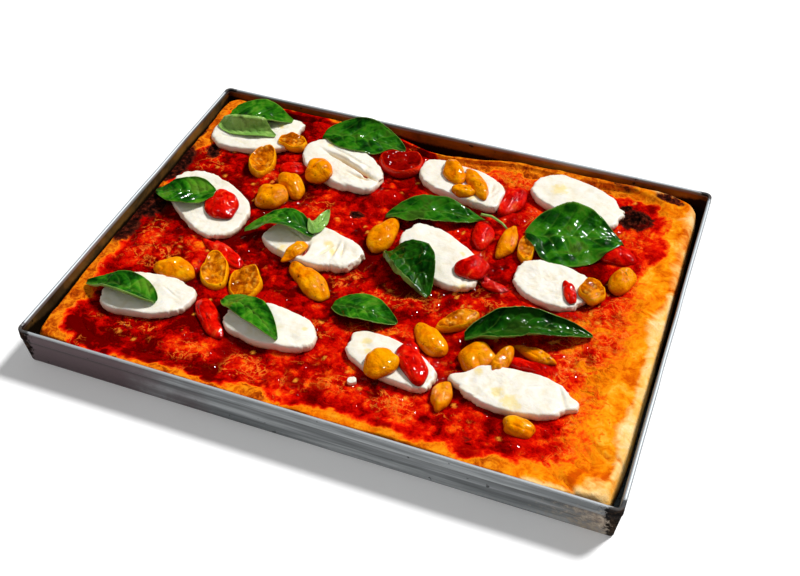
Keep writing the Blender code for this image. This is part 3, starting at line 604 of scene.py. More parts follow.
def make_sauce(look, ground):
    across, up = (np.linspace(-1, 1, cells + 1) for cells in SAUCE_CELLS)
    across, up = np.meshgrid(across, up, indexing="ij")
    size = np.maximum(np.abs(across), np.abs(up))
    safe = np.where(size == 0, 1, size)
    edge_x, edge_y = sauce_edge(np.where(size == 0, 1, across / safe), up / safe)
    out_x, out_y = edge_x - SAUCE_CENTRE[0], edge_y - SAUCE_CENTRE[1]
    x, y = SAUCE_CENTRE[0] + size * out_x, SAUCE_CENTRE[1] + size * out_y
    beyond = (size - 1) * np.hypot(out_x, out_y)
    top = points_of(x, y, sauce_top(x, y) + EDGE_RISE * ease(-16, 0, beyond))
    quads, rim = grid_faces(*size.shape)
    foot = top[rim].copy()
    foot[:, 2] = SAUCE_FOOT
    foot_ring = np.arange(len(top), len(top) + len(rim))
    points = np.concatenate([top, foot, [[*SAUCE_CENTRE, SAUCE_FOOT]]])
    faces = quads.tolist() + strip(foot_ring, rim) + flipped(fan(len(points) - 1, foot_ring))
    beyond = np.concatenate([beyond.ravel(), np.zeros(len(rim) + 1)])
    x, y = points[:, 0], points[:, 1]
    values = surface_values(x, y, beyond, FAR_INSIDE, between(ground.nearness(), x, y))
    sunk = ease(0.4, 0.65, sunk_tomatoes(x, y, SHOWING_HUMP)[1])
    values["tomato"] = sunk * (1 - np.clip(values["burnt"], 0, 1))
    add_piece("sauce_surface", points, faces, look, ["tomato_sauce"], values, sharp=60)


def corner_folds(x, y):
    """Creases that run out into the crust's front right corner, from 0 to 1."""
    corner = ease(130, 165, x) * ease(-80, -118, y)
    return corner * ridges(0.2 * (x - y), 0.7 * (x + y), 9, 87, 1) ** 1.6


def crust_relief(x, y, share, width):
    """Bumps, blisters and folds of the crust, faded out at both of its edges."""
    lively = ease(0.0, 0.3, share) * (1 - ease(0.93, 1.0, share))
    bumps = 1.1 * cloud(x, y, 19, 81, 3, 0.45) + 0.5 * (ridges(x, y, 15, 85, 2) - 0.45)
    return lively * (bumps - 1.8 * corner_folds(x, y)) * np.clip(width / 12, 0.5, 1)


def make_dough(look):
    """The dough in rings: from under the sauce's edge over the crust, down its side and under it."""
    u, v = border_square(*SAUCE_CELLS)
    inner_x, inner_y = sauce_edge(u, v)
    outer_x, outer_y = dough_edge(u, v)
    away = np.hypot(inner_x - SAUCE_CENTRE[0], inner_y - SAUCE_CENTRE[1])
    start_x = inner_x - 0.5 * (inner_x - SAUCE_CENTRE[0]) / away
    start_y = inner_y - 0.5 * (inner_y - SAUCE_CENTRE[1]) / away
    width = np.hypot(outer_x - inner_x, outer_y - inner_y)
    rings = [(start_x, start_y, UNDER_SAUCE[0], 0.0)]
    for share in np.concatenate([np.linspace(0, 0.78, 28), np.linspace(0.80, 1.0, 16)]):
        x = start_x + share * (outer_x - start_x)
        y = start_y + share * (outer_y - start_y)
        start = sauce_top(x, y) + EDGE_RISE - 0.25 * (1 - ease(0, 0.04, share))
        lift = 2.2 * ease(90, 135, y) + 0.6 * ease(-90, -130, y)
        rim = RIM_HEIGHT + lift + 0.5 * crossing_waves(x, y, 40, 21)
        z = start + (rim - start) * ease(0, 0.4, share)
        z = z - 9 * (max(share - 0.82, 0) / 0.18) ** 2.4 + crust_relief(x, y, share, width)
        rings.append((x, y, z, share))
    rings += [(outer_x, outer_y, z, 1.0) for z in (9.0, 5.0)]
    shrink_x, shrink_y = (1 - FOOT_INSET / half for half in DOUGH_HALF)
    rings.append((outer_x * shrink_x, outer_y * shrink_y, DOUGH_FOOT, 1.0))
    points = [points_of(x, y, np.broadcast_to(z, x.shape)) for x, y, z, _ in rings]
    points = np.concatenate(points + [[[*SAUCE_CENTRE, UNDER_SAUCE[1]], [*SAUCE_CENTRE, DOUGH_FOOT]]])
    beyond = np.concatenate([share * width for *_, share in rings] + [[0.0, 0.0]])
    to_edge = np.concatenate([(1 - share) * width for *_, share in rings] + [[0.0, 0.0]])
    numbers = np.arange(len(rings) * len(u)).reshape(len(rings), len(u))
    faces = bands(numbers[1:], numbers) + fan(len(points) - 2, numbers[0])
    faces += flipped(fan(len(points) - 1, numbers[-1]))
    values = surface_values(points[:, 0], points[:, 1], beyond, to_edge, 0.0)
    add_piece("dough_surface", points, faces, look, ["dough"], values)


def uneven(draw, angle, corners, amount):
    """How far an outline reaches in each direction, from random corners all round it."""
    growth = 1 + draw.uniform(-amount, amount, corners)
    return np.interp(angle, np.linspace(0, 2 * math.pi, corners + 1), np.append(growth, growth[0]))


def lobed(grow, angle, lobes):
    """An outline's reach with points and waists added to it."""
    for lobe_angle, amount, spread in lobes:
        distance = (np.degrees(angle) - lobe_angle + 180) % 360 - 180
        grow = grow + amount * np.exp(-((distance / spread) ** 2))
    return grow


def oval(angle, fullness):
    c, s = np.cos(angle), np.sin(angle)
    return np.sign(c) * np.abs(c) ** fullness, np.sign(s) * np.abs(s) ** fullness


def disc_body(at_x, at_y, x, y, z, low):
    """Points and faces of a closed flattened body: a top point, rings from the top round, a low point."""
    rings, sectors = z.shape
    points = [[[at_x, at_y, z[0].mean()]], points_of(x, y, z), [[at_x, at_y, low]]]
    numbers = 1 + np.arange(rings * sectors).reshape(rings, sectors)
    faces = fan(0, numbers[0]) + bands(numbers[1:], numbers)
    return np.concatenate(points), faces + flipped(fan(1 + rings * sectors, numbers[-1]))


def capped(values, shape, first=0.0, last=0.0):
    """Values of a flattened body's rings, with those of its top and low points."""
    return np.concatenate([[first], np.broadcast_to(values, shape).ravel(), [last]])


def make_slice(number, spec, look, ground):
    """A torn mozzarella slice with a rounded, slightly undercut edge."""
    at_x, at_y, length, width, turn, height, lobes = spec
    seed = SLICE_DRAWS + number
    angle = 2 * math.pi * np.arange(SLICE_SECTORS) / SLICE_SECTORS
    grow = lobed(uneven(np.random.default_rng(seed), angle, 16, 0.03), angle, lobes)
    grow = grow + 0.022 * cloud(np.cos(angle) * 30, np.sin(angle) * 30, 9, seed + 5, 4, 0.7)
    across, up = oval(angle, SLICE_FULLNESS)
    # From the middle of the top, over a crisp edge, and down and a little in under the slice.
    edge_out, edge_tall = np.array(SLICE_EDGE).T
    flat = np.linspace(0.04, 0.88, SLICE_RINGS - len(SLICE_EDGE))
    out = np.concatenate([flat, edge_out])[:, None]
    tall = np.concatenate([1 - 0.03 * flat**2, edge_tall])[:, None]
    own_x = out * grow * length / 2 * across
    own_y = out * grow * width / 2 * up
    x, y = turned(own_x, own_y, turn)
    x, y = x + at_x, y + at_y
    under = ground.smooth_at(x, y, 2.5)
    level = float(np.median(under))
    base = level + 0.65 * (under - level) - 0.2
    softness = ease(0.15, 0.8, tall)
    tilt = np.random.default_rng(seed + 40).uniform(-0.022, 0.022, 2)
    torn = ease(0.1, 0.6, cloud(x, y, 30, seed + 15, 2))
    bumps = 0.45 * cloud(x, y, 22, seed + 9, 2) + (0.08 + 0.3 * torn) * cloud(x, y, 5, seed + 13, 3)
    z = base + tall * height * (0.92 + 0.08 * (1 - out**2))
    z = z + softness * (bumps + tilt[0] * own_x + tilt[1] * own_y)
    marks = np.zeros_like(z)
    for *place, high in SLICE_MARKS.get(number, ()):
        marks = marks + softness * high * np.exp(-(oval_span(own_x, own_y, *place) ** 1.4))
    z = np.maximum(z + marks, under + 0.3 * (tall > 0.3))
    around = np.degrees(angle) / 360 * (length + width) * 1.6 + 0 * z
    rough = (0.008 + 0.022 * torn) * cloud(around, z, 3.5, seed + 30, 3) * ease(0.88, 0.97, out)
    x, y = at_x + (x - at_x) * (1 + rough), at_y + (y - at_y) * (1 + rough)
    points, faces = disc_body(at_x, at_y, x, y, z, base[-1].min() - 0.5)
    ground.add(points[:-1])
    oil = np.zeros(len(points))
    for oil_x, oil_y, radius in OIL_SPOTS.get(number, ()):
        spot = np.exp(-oval_span(points[:, 0], points[:, 1], oil_x, oil_y, radius, radius, 0))
        oil = np.maximum(oil, spot)
    # How low each point lies, for the painted shade on the slice's sides and the sauce stain at its foot.
    low = 1 - np.clip((points[:, 2] - level) / height, 0, 1)
    values = {"low": low, "oil": oil, "cut": capped(-marks / 4, z.shape)}
    node = solid_of("mozzarella", number)
    add_piece(f"cheese_{number}", points, faces, look, node, values)


def fitted_outline(grow, angle, spec, ground):
    """A tomato's outline drawn in where it would run up on something high."""
    at_x, at_y, length, width, turn, height = spec
    level = ground.smooth_at(at_x, at_y, 3)
    for sector, way in enumerate(angle):
        share = 1.0
        while share > 0.62:
            reach = grow[sector] * share
            out = turned(reach * length / 2 * math.cos(way), reach * width / 2 * math.sin(way), turn)
            if ground.at(at_x + out[0], at_y + out[1]) < level + 0.55 * height:
                break
            share -= 0.04
        grow[sector] *= share
    return sum(np.roll(grow, step) for step in (0, 1, -1, 2, -2)) / 5


def tomato_section(scoop):
    """A tomato half's rings: reach, height and depth of the pit."""
    path = np.linspace(0.04, 1.0, TOMATO_RINGS)
    low_part = np.clip((path - 0.85) / 0.15, 0, 1)
    out = np.where(path < 0.85, np.sin(np.clip(path / 0.85, 0, 1) * math.pi / 2), 1 - 0.06 * low_part**2)
    if scoop:
        tall = 0.18 + 0.82 * np.sqrt(np.clip(1 - out**6, 0, 1))
    else:
        tall = 0.18 + 0.82 * np.clip(1 - out**2.6, 0, 1) ** 0.55
    pit = scoop * 1.15 * np.clip(1 - (out / 0.88) ** 2, 0, 1) ** 0.6
    tall = np.where(path < 0.85, tall, 0.18 * (1 - low_part))
    return path[:, None], out[:, None], tall[:, None], np.where(path < 0.85, pit, 0)[:, None]


def make_tomato(kind, number, spec, look, ground):
    """Half a cherry tomato, skin up or with its scooped side up."""
    at_x, at_y, length, width, turn, height, scoop, lean_x, lean_y = spec + (0,) * (9 - len(spec))
    seed = TOMATO_DRAWS[kind] + number
    angle = 2 * math.pi * np.arange(TOMATO_SECTORS) / TOMATO_SECTORS
    draw = np.random.default_rng(seed)
    grow = fitted_outline(uneven(draw, angle, 9, 0.04), angle, spec[:6], ground)
    for folds, amount in ((2, 0.03), (3, 0.045), (4, 0.03), (5, 0.02), (7, 0.014)):
        grow = grow + amount * np.cos(folds * angle + draw.uniform(0, 2 * math.pi))
    grow = lobed(grow, angle, TOMATO_LOBES[kind].get(number, ()))
    path, out, tall, pit = tomato_section(scoop)
    own_x = out * grow * length / 2 * np.cos(angle)
    own_y = out * grow * width / 2 * np.sin(angle)
    x, y = turned(own_x, own_y, turn)
    x, y = x + at_x, y + at_y
    under = ground.smooth_at(x, y, 2.0)
    level = float(np.median(under))
    base = level + 0.3 * (under - level) - 0.5
    wavy = 1.5 * cloud(own_x, own_y, 9, seed + 3, 2)
    wrinkle = 0.34 * np.cos(angle * draw.integers(5, 9) + wavy) * out**2
    dent_angle = draw.uniform(0, 2 * math.pi)
    dent_x, dent_y = 0.22 * length * math.cos(dent_angle), 0.22 * width * math.sin(dent_angle)
    dent = np.exp(-oval_span(own_x, own_y, dent_x, dent_y, 0.20 * length, 0.16 * width, 0))
    creases = CREASE_DEPTHS[kind] * ridges(own_x / 1.6, own_y, 7, seed + 7, 2) ** 2
    lumps = 1.2 * cloud(x, y, 11, seed + 5, 3) - 1.3 * dent * (scoop == 0) - creases
    lean = lean_x * (x - at_x) + lean_y * (y - at_y)
    z = base + tall * height - pit + np.clip(tall, 0, 1) * (wrinkle + lumps + lean)
    seeds = np.zeros_like(z)
    if scoop and kind == "yellow":
        for _ in range(int(4 + length * width / 110)):
            seed_angle, seed_out = draw.uniform(0, 2 * math.pi), math.sqrt(draw.uniform(0.02, 0.5))
            seed_x = seed_out * length / 2 * math.cos(seed_angle)
            seed_y = seed_out * width / 2 * math.sin(seed_angle)
            span = oval_span(own_x, own_y, seed_x, seed_y, 1.5, 0.9, -draw.uniform(0, 180))
            seeds = np.maximum(seeds, np.exp(-(span**1.3)) * (path < 0.8))
        z = z + 0.7 * seeds
    z = np.maximum(z, under - 1.0 * (path > 0.8))
    points, faces = disc_body(at_x, at_y, x, y, z, base.min() - 0.5)
    ground.add(points[:-1])
    inside = ease(0.05, 0.3, pit / max(scoop, 1))
    rim = np.exp(-(((out - 0.93) / 0.05) ** 2)) * (scoop > 0)
    values = {
        "pit": capped(inside, z.shape, first=inside[0, 0]),
        "seed": capped(seeds, z.shape),
        # How low each point lies, for the painted shade towards the bottom.
        "low": capped(np.clip(1 - (z - base) / height, 0, 1), z.shape, last=1.0),
        "rim": capped(rim, z.shape),
    }
    slot = f"{kind}_tomato"
    add_piece(f"{kind}_half_{number}", points, faces, look, solid_of(slot, number), values)


def leaf_half_width(share):
    """A basil leaf's half width along its length, as a share of its widest: blunt stalk end, pointed tip."""
    return np.clip(np.sin(math.pi * share**0.8), 0, 1) ** 0.75


def side_profile(half, cup, fold):
    """Sideways place and height along one side of a leaf, from its midrib out, by turning step by step."""
    share = np.linspace(0, 1, LEAF_STEPS[1] + 1)
    angle = math.radians(cup) * share
    if fold:
        start, degrees = fold
        angle = angle + math.radians(degrees) * ease(start, min(start + 0.25, 1.0), share)
    middle = (angle[1:] + angle[:-1]) / 2
    step = half[:, None] / LEAF_STEPS[1]
    runs = (np.cumsum(way(middle) * step, axis=1) for way in (np.cos, np.sin))
    return [np.pad(run, ((0, 0), (1, 0))) for run in runs]


def leaf_relief(number, a, b, length, width, half, seed):
    """A leaf's quilting, veins and crumples, with a mask of the veins; a runs along it and b across."""
    # Side veins leave the midrib and sweep towards the tip.
    vein_place = a * 6.5 - 1.5 * np.abs(b) ** 1.3 + 0.15 * lattice_noise(a * 40, b * 20, 9, seed + 2)
    to_vein = np.abs(((vein_place + 0.4 * (b > 0)) % 1) - 0.5) * 2
    body = np.sin(math.pi * np.clip(a * 1.02, 0, 1)) ** 0.6
    quilt = 0.85 * np.sin(to_vein * math.pi / 2) * (1 - np.abs(b) ** 3) * np.clip(half / 12, 0.3, 1.3)
    fine = 0.22 * cloud(a * length, b * width / 2, 5, seed + 4, 3)
    crumple = LEAF_CRUMPLE.get(number, 0.4) * ridges(a * length + b * 9, b * width / 2, 11, seed + 6, 2)
    midrib = np.exp(-((b * half / 0.9) ** 2))
    side_vein = (1 - ease(0.0, 0.22, to_vein)) * (1 - np.abs(b) ** 2) * body
    relief = body * (1.15 * quilt + fine + crumple - 0.7 * midrib) - 0.25 * side_vein
    return relief, np.maximum(midrib, 0.75 * side_vein)


def lifted_clear(x, y, z, ground):
    """Heights raised to lie clear of what is below, with each rise spread to its neighbours."""
    rise = np.maximum(ground.at(x, y) + LEAF_THICKNESS + 0.1 - z, 0)
    for _ in range(30):
        spread = rise.copy()
        spread[1:-1] = np.maximum(spread[1:-1], (rise[2:] + rise[:-2]) / 2)
        spread[:, 1:-1] = np.maximum(spread[:, 1:-1], (rise[:, 2:] + rise[:, :-2]) / 2)
        rise = spread
    return z + rise


def make_leaf(number, spec, look, ground):
    """A basil leaf with sunken veins, quilting between them, and a wavy or folded edge."""
    stalk_x, stalk_y, tip_x, tip_y, width, lift, arch, cups, bend = spec
    seed = LEAF_DRAWS + number
    length = math.hypot(tip_x - stalk_x, tip_y - stalk_y)
    heading = math.degrees(math.atan2(tip_y - stalk_y, tip_x - stalk_x))
    along = np.linspace(0, 1, LEAF_STEPS[0] + 1)
    half = width / 2 * np.maximum(leaf_half_width(0.02 + 0.965 * along), 0.03)
    folded_side, *fold = LEAF_FOLDS.get(number, (0,))
    left, left_high = side_profile(half, cups[0], fold if folded_side == 1 else None)
    right, right_high = side_profile(half, cups[1], fold if folded_side == -1 else None)
    aside = np.concatenate([-right[:, :0:-1], left], axis=1)
    high = np.concatenate([right_high[:, :0:-1], left_high], axis=1)
    a, b = np.meshgrid(along, np.linspace(-1, 1, 2 * LEAF_STEPS[1] + 1), indexing="ij")
    wave = 0.9 * np.sin(5.0 * a + 2.5 * b + number) * np.abs(b)
    wave = wave + 0.7 * cloud(a * 60, b * 20, 16, seed, 2) * np.abs(b) ** 1.5
    relief, vein = leaf_relief(number, a, b, length, width, half[:, None], seed)
    x, y = turned(a * length, aside + bend * np.sin(math.pi * a), heading)
    x, y = x + stalk_x, y + stalk_y
    below = ground.smooth_at(x, y, 3.5)
    z = arch * np.sin(math.pi * a) + high + wave + relief + 0.5 * np.median(below) + 0.5 * below + lift
    grid = np.stack([x, y, lifted_clear(x, y, z, ground)], axis=-1)
    normal = np.cross(np.gradient(grid, axis=0), np.gradient(grid, axis=1))
    normal /= np.maximum(np.linalg.norm(normal, axis=-1, keepdims=True), 1e-9)
    sheets = [(grid + side * normal * LEAF_THICKNESS / 2).reshape(-1, 3) for side in (1, -1)]
    points = np.concatenate(sheets)
    count = a.size
    quads, rim = grid_faces(*a.shape)
    faces = quads.tolist() + (quads + count)[:, ::-1].tolist() + strip(rim + count, rim)
    ground.add(points)
    values = {
        "vein": np.tile(vein.ravel(), 2),
        "under": np.repeat([float(number in PALE_LEAVES), 1.0], count),
        "edge": np.tile(np.abs(b).ravel(), 2),
        # How strongly each leaf gets patches of painted shade.
        "dark": np.full(2 * count, DARK_LEAVES.get(number, 0.0)),
        # How low each point lies in the leaf's relief, for the painted shade in its hollows.
        "hollow": np.tile(np.clip(0.5 - relief.ravel() / 2.4, 0, 1), 2),
    }
    add_piece(f"leaf_{number}", points, faces, look, solid_of("basil", number), values)


def make_stalk(look):
    """A thin bare stalk along a bent line."""
    sides, steps = 10, 24
    places = np.linspace(0, len(STALK) - 1, steps)
    line = np.stack([np.interp(places, np.arange(len(STALK)), axis) for axis in np.transpose(STALK)], axis=1)
    ahead = np.gradient(line, axis=0)
    ahead /= np.linalg.norm(ahead, axis=1, keepdims=True)
    aside = np.cross(ahead, (0, 0, 1))
    aside /= np.linalg.norm(aside, axis=1, keepdims=True)
    over = np.cross(aside, ahead)
    angle = 2 * math.pi * np.arange(sides) / sides
    round_it = np.cos(angle)[:, None] * aside[:, None] + np.sin(angle)[:, None] * over[:, None]
    radius = 1.1 - 0.4 * np.arange(steps) / steps
    tube = line[:, None] + radius[:, None, None] * round_it
    points = np.concatenate([tube.reshape(-1, 3), line[:1], line[-1:]])
    rings = np.arange(sides * steps).reshape(steps, sides)
    faces = bands(rings, rings[1:]) + flipped(fan(len(points) - 2, rings[0]))
    faces += fan(len(points) - 1, rings[-1])
    add_piece("stalk_0", points, faces, look, [], {"under": np.ones(len(points))})


class Graph:
    """A short way to build one material's nodes. Colours are given as they look on the screen, 0 to 255."""

    def __init__(self, name):
        self.material = bpy.data.materials.new(name)
        self.material.use_nodes = True
        self.tree = self.material.node_tree
        self.place = self.node("TexCoord").outputs["Object"]

    def feed(self, socket, value):
        if isinstance(value, bpy.types.NodeSocket):
            self.tree.links.new(value, socket)
        elif socket.type == "RGBA":
            socket.default_value = (*value, 1.0)
        else:
            socket.default_value = value

    def node(self, kind, **inputs):
        """A new node with its sockets fed, whose names are given with underscores for spaces."""
        made = self.tree.nodes.new("ShaderNode" + kind)
        for key, value in inputs.items():
            self.feed(made.inputs[key.replace("_", " ")], value)
        return made

    def noise(self, scale, detail=4.0, rough=0.55, bend=0.0, place=None):
        shape = {"Detail": detail, "Roughness": rough, "Distortion": bend}
        return self.node("TexNoise", Vector=place or self.place, Scale=scale, **shape).outputs["Fac"]

    def stretched(self, factors):
        return self.node("Mapping", Vector=self.place, Scale=factors).outputs["Vector"]

    def beads(self, scale, kept):
        """Scattered wet beads: where they are, and the normal of their domes."""
        cells = self.node("TexVoronoi", Vector=self.place, Scale=scale)
        drawn = self.node("SeparateColor", Color=cells.outputs["Color"]).outputs[0]
        near = cells.outputs["Distance"]
        dome = self.maths("MAXIMUM", self.maths("SUBTRACT", 0.2, self.times(near, near)), 0.0)
        dome = self.times(dome, self.rise(drawn, kept, kept - 0.01))
        return self.rise(dome, 0.0, 0.03), self.bump(dome, 0.5 / (BEAD_RADIUS * scale**2), 1.0)

    def split(self):
        return self.node("SeparateXYZ", Vector=self.place).outputs

    def value(self, name):
        made = self.node("Attribute")
        made.attribute_name = name
        return made.outputs["Fac"]

    def maths(self, operation, first, second=0.0, clamp=False):
        made = self.node("Math")
        made.operation = operation
        made.use_clamp = clamp
        self.feed(made.inputs[0], first)
        self.feed(made.inputs[1], second)
        return made.outputs[0]

    def times(self, first, second, clamp=False):
        return self.maths("MULTIPLY", first, second, clamp)

    def rest_of(self, whole, value, share=1.0):
        """What is left of a whole when a share of a value is taken off."""
        return self.maths("SUBTRACT", whole, self.times(value, share))

    def mixed(self, value, noise, strength):
        """A value roughened by a noise round 0.5."""
        return self.maths("ADD", value, self.times(self.maths("SUBTRACT", noise, 0.5), strength))

    def rise(self, value, low, high):
        """0 below low and 1 above high, smooth between. With low above high it falls instead."""
        ends = {"From_Min": min(low, high), "From_Max": max(low, high)}
        falls = float(low > high)
        made = self.node("MapRange", Value=value, To_Min=falls, To_Max=1.0 - falls, **ends)
        made.interpolation_type = "SMOOTHSTEP"
        return made.outputs["Result"]

    def paint(self, color, where, over, strength=1.0):
        """A colour with another laid over it, as strongly as a value says."""
        made = self.node("Mix")
        made.data_type = "RGBA"
        self.feed(made.inputs["Factor"], self.times(where, strength))
        self.feed(made.inputs[6], color)
        self.feed(made.inputs[7], tint(*over) if isinstance(over, tuple) else over)
        return made.outputs[2]

    def layers(self, color, *layers):
        for where, over, strength in layers:
            color = self.paint(color, where, over, strength)
        return color

    def ramp(self, factor, *stops):
        """A colour ramp from stops of place, red, green and blue."""
        made = self.node("ValToRGB", Fac=factor)
        elements = made.color_ramp.elements
        while len(elements) < len(stops):
            elements.new(0.5)
        for element, (place, *color) in zip(elements, stops):
            element.position = place
            element.color = (*tint(*color), 1.0)
        return made.outputs["Color"]

    def bump(self, height, distance, strength):
        return self.node("Bump", Strength=strength, Distance=distance, Height=height).outputs["Normal"]

    def finish(self, **settings):
        """Feeds the shader's sockets, whose names are given with underscores for spaces."""
        for key, value in settings.items():
            self.feed(self.tree.nodes["Principled BSDF"].inputs[key.replace("_", " ")], value)
        return self.material


def baked_surface(g):
    """The colour of sauce over dough, and two noises for the bump."""
    mid = g.noise(140, 4, 0.62, 0.8)
    fine = g.noise(460, 3, 0.65, 0.4)
    wide = g.noise(60, 4, 0.6, 0.6)
    sauce_amount_and_shade = g.mixed(g.mixed(g.value("sauce_amount_and_shade"), mid, 0.95), fine, 0.5)
    threads = g.maths("ABSOLUTE", g.maths("SUBTRACT", g.noise(105, 5, 0.62, 0.7), 0.5))
    strands = g.times(g.rise(threads, 0.028, 0.006), g.rise(g.mixed(g.value("thin"), wide, 1.6), 0.15, 0.55))
    sauce = g.ramp(
        sauce_amount_and_shade, (0.10, 250, 150, 14), (0.25, 247, 112, 12), (0.38, 240, 66, 8), (0.50, 224, 28, 4),
        (0.62, 200, 8, 2), (0.78, 160, 2, 1), (0.96, 96, 0, 0),
    )
    sauce = g.paint(sauce, strands, (252, 130, 40), 0.8)
    golden = ((0.30, 206, 80, 3), (0.44, 238, 120, 5), (0.58, 253, 156, 16), (0.72, 255, 190, 60))
    golden = g.ramp(g.mixed(wide, mid, 0.7), *golden)
    cream = g.mixed(wide, mid, 0.5)
    cream = g.ramp(cream, (0.28, 250, 164, 48), (0.44, 254, 196, 104), (0.66, 255, 222, 160))
    toasted = g.ramp(g.mixed(mid, fine, 0.4), (0.32, 136, 44, 4), (0.46, 200, 86, 8), (0.62, 240, 140, 20))
    dough = g.paint(golden, g.rise(g.mixed(g.value("toast"), wide, 2.2), 0.20, 0.95), toasted)
    dough = g.paint(dough, g.rise(g.mixed(g.value("cream"), wide, 0.9), 0.20, 0.70), cream)
    streaks = g.times(g.rise(threads, 0.04, 0.01), g.rise(wide, 0.45, 0.60))
    dough = g.paint(dough, streaks, (236, 112, 6), 0.15)
    color = g.paint(dough, g.rise(sauce_amount_and_shade, 0.08, 0.20), sauce)
    # Painted shade: the wet sauce's hollows are painted dark red.
    deep = g.times(g.rise(g.value("relief"), -0.25, -1.2), g.value("wet"))
    color = g.paint(color, deep, (92, 0, 0), 0.65)
    color = g.paint(color, g.value("seed"), (250, 160, 50), 0.8)
    char = g.times(g.value("burnt"), g.mixed(g.mixed(1.0, fine, 0.6), mid, 2.2))
    crisp = g.ramp(g.noise(300, 4, 0.6), (0.35, 8, 4, 4), (0.52, 40, 14, 9), (0.70, 104, 40, 24))
    crisp = g.paint(crisp, g.rise(char, 0.75, 0.45), (84, 22, 14))
    return g.paint(color, g.rise(char, 0.30, 0.55), crisp), mid, fine


def sauce_look():
    g = Graph("tomato_sauce_wet")
    color, mid, fine = baked_surface(g)
    skin = g.ramp(mid, (0.30, 140, 1, 0), (0.50, 192, 5, 2), (0.75, 224, 22, 8))
    color = g.paint(color, g.value("tomato"), skin, 0.85)
    height = g.maths("ADD", mid, g.times(fine, 0.6))
    beads, domes = g.beads(165, 0.6)
    wet = g.times(g.rise(g.noise(34, 3), 0.44, 0.56), g.rest_of(g.value("wet"), g.value("burnt")))
    return g.finish(
        Base_Color=color, Roughness=0.5, Normal=g.bump(height, 0.0024, 1.0), Specular_IOR_Level=0.0,
        Coat_Weight=g.times(beads, wet, clamp=True), Coat_Roughness=0.03, Coat_Normal=domes,
    )


def dough_look():
    g = Graph("crust_browned")
    color, mid, fine = baked_surface(g)
    side = g.rise(g.split()[2], 0.0165, 0.0125)
    color = g.paint(color, side, (92, 40, 12), 0.85)
    normal = g.bump(g.maths("ADD", mid, g.times(fine, 0.5)), 0.0011, 0.8)
    return g.finish(Base_Color=color, Roughness=0.5, Normal=normal, Specular_IOR_Level=0.0)


def cheese_look():
    g = Graph("mozzarella_soft")
    fine = g.noise(150, 4, 0.55, 0.5)
    low, cut = g.value("low"), g.value("cut")
    color = g.ramp(fine, (0.30, 236, 226, 202), (0.50, 243, 237, 222), (0.72, 247, 243, 234))
    color = g.layers(
        color,
        # Painted shade: the lower part of each slice is painted beige on its sides. The lowest part is
        # painted pink-orange, where sauce has stained it.
        (g.rise(g.mixed(low, fine, 0.5), 0.15, 0.75), (226, 196, 150), 0.55),
        (g.rise(g.mixed(low, fine, 0.9), 0.74, 1.0), (224, 120, 84), 0.8),
        (g.rise(g.mixed(g.value("oil"), g.noise(260, 4), 1.4), 0.40, 1.0), (244, 214, 96), 0.6),
        # Painted shade: shallow cuts are painted darker beige. Deep ones are painted red, where sauce shows
        # in them.
        (g.rise(cut, 0.15, 0.5), (232, 206, 150), 0.55),
        (g.rise(cut, 0.75, 1.1), (188, 44, 30), 1.0),
    )
    height = g.maths("ADD", fine, g.times(g.noise(600, 3, 0.6), 0.3))
    return g.finish(
        Base_Color=color, Roughness=0.42, Normal=g.bump(height, 0.0006, 0.6), Specular_IOR_Level=0.3,
        Subsurface_Weight=0.15, Subsurface_Scale=0.003, Subsurface_Radius=(1.0, 0.8, 0.55),
        Coat_Weight=0.1, Coat_Roughness=0.1,
    )


def basil_look():
    g = Graph("basil_fresh")
    broad = g.noise(60, 4, 0.6, 0.5)
    fine = g.noise(500, 4, 0.6)
    under = g.value("under")
    upper = g.ramp(broad, (0.33, 4, 36, 2), (0.44, 14, 76, 5), (0.55, 48, 122, 12), (0.68, 114, 166, 42))
    lower = g.ramp(broad, (0.30, 96, 150, 60), (0.70, 170, 206, 108))
    color = g.paint(upper, under, lower)
    # Painted shade in each leaf's hollows and folds, weaker on a pale underside.
    hollow = g.times(g.rise(g.value("hollow"), 0.40, 0.80), g.rest_of(0.75, under, 0.6))
    color = g.layers(
        color,
        (g.value("vein"), (118, 168, 56), 0.32),
        (g.rise(g.value("edge"), 0.93, 1.0), (140, 176, 70), 0.4),
        (g.rise(fine, 0.60, 0.80), (4, 34, 2), 0.4),
        # Painted shade: dark patches on the leaves in DARK_LEAVES.
        (g.rise(g.mixed(g.value("dark"), broad, 3.0), 0.2, 0.8), (8, 46, 6), 0.85),
        (hollow, (5, 36, 3), 1.0),
    )
    height = g.maths("ADD", g.times(fine, 0.4), g.times(broad, 0.6))
    return g.finish(
        Base_Color=color, Roughness=g.maths("ADD", 0.26, g.times(fine, 0.2)), Specular_IOR_Level=0.05,
        Normal=g.bump(height, 0.0010, 0.6), Coat_Weight=0.45, Coat_Roughness=0.06,
    )


def tomato_look(name, skin, pulp, seed, low, specks, rim):
    g = Graph(name)
    broad = g.noise(110, 4, 0.6, 0.6)
    fine = g.noise(420, 3, 0.6)
    pit = g.value("pit")
    color = g.layers(
        g.ramp(broad, *skin),
        (pit, g.ramp(g.mixed(broad, fine, 0.4), *pulp), 0.9),
        (g.value("rim"), skin[-1][1:], rim),
        (g.value("seed"), seed, 0.55),
        # Painted shade: each half is painted darker towards its bottom.
        (g.rise(g.value("low"), 0.45, 1.0), low, 0.8),
        (g.rise(g.noise(330, 2, 0.5), 0.68, 0.74), (60, 18, 2), specks),
    )
    height = g.maths("ADD", broad, g.times(fine, 0.3))
    beads, domes = g.beads(150, 0.65)
    coat = g.times(g.maths("ADD", 0.6, g.times(beads, 0.4)), g.rest_of(1.0, pit, 0.6))
    return g.finish(
        Base_Color=color, Roughness=0.4, Normal=g.bump(height, 0.0020, 0.8), Specular_IOR_Level=0.0,
        Coat_Weight=coat, Coat_Roughness=0.04, Coat_Normal=domes,
    )


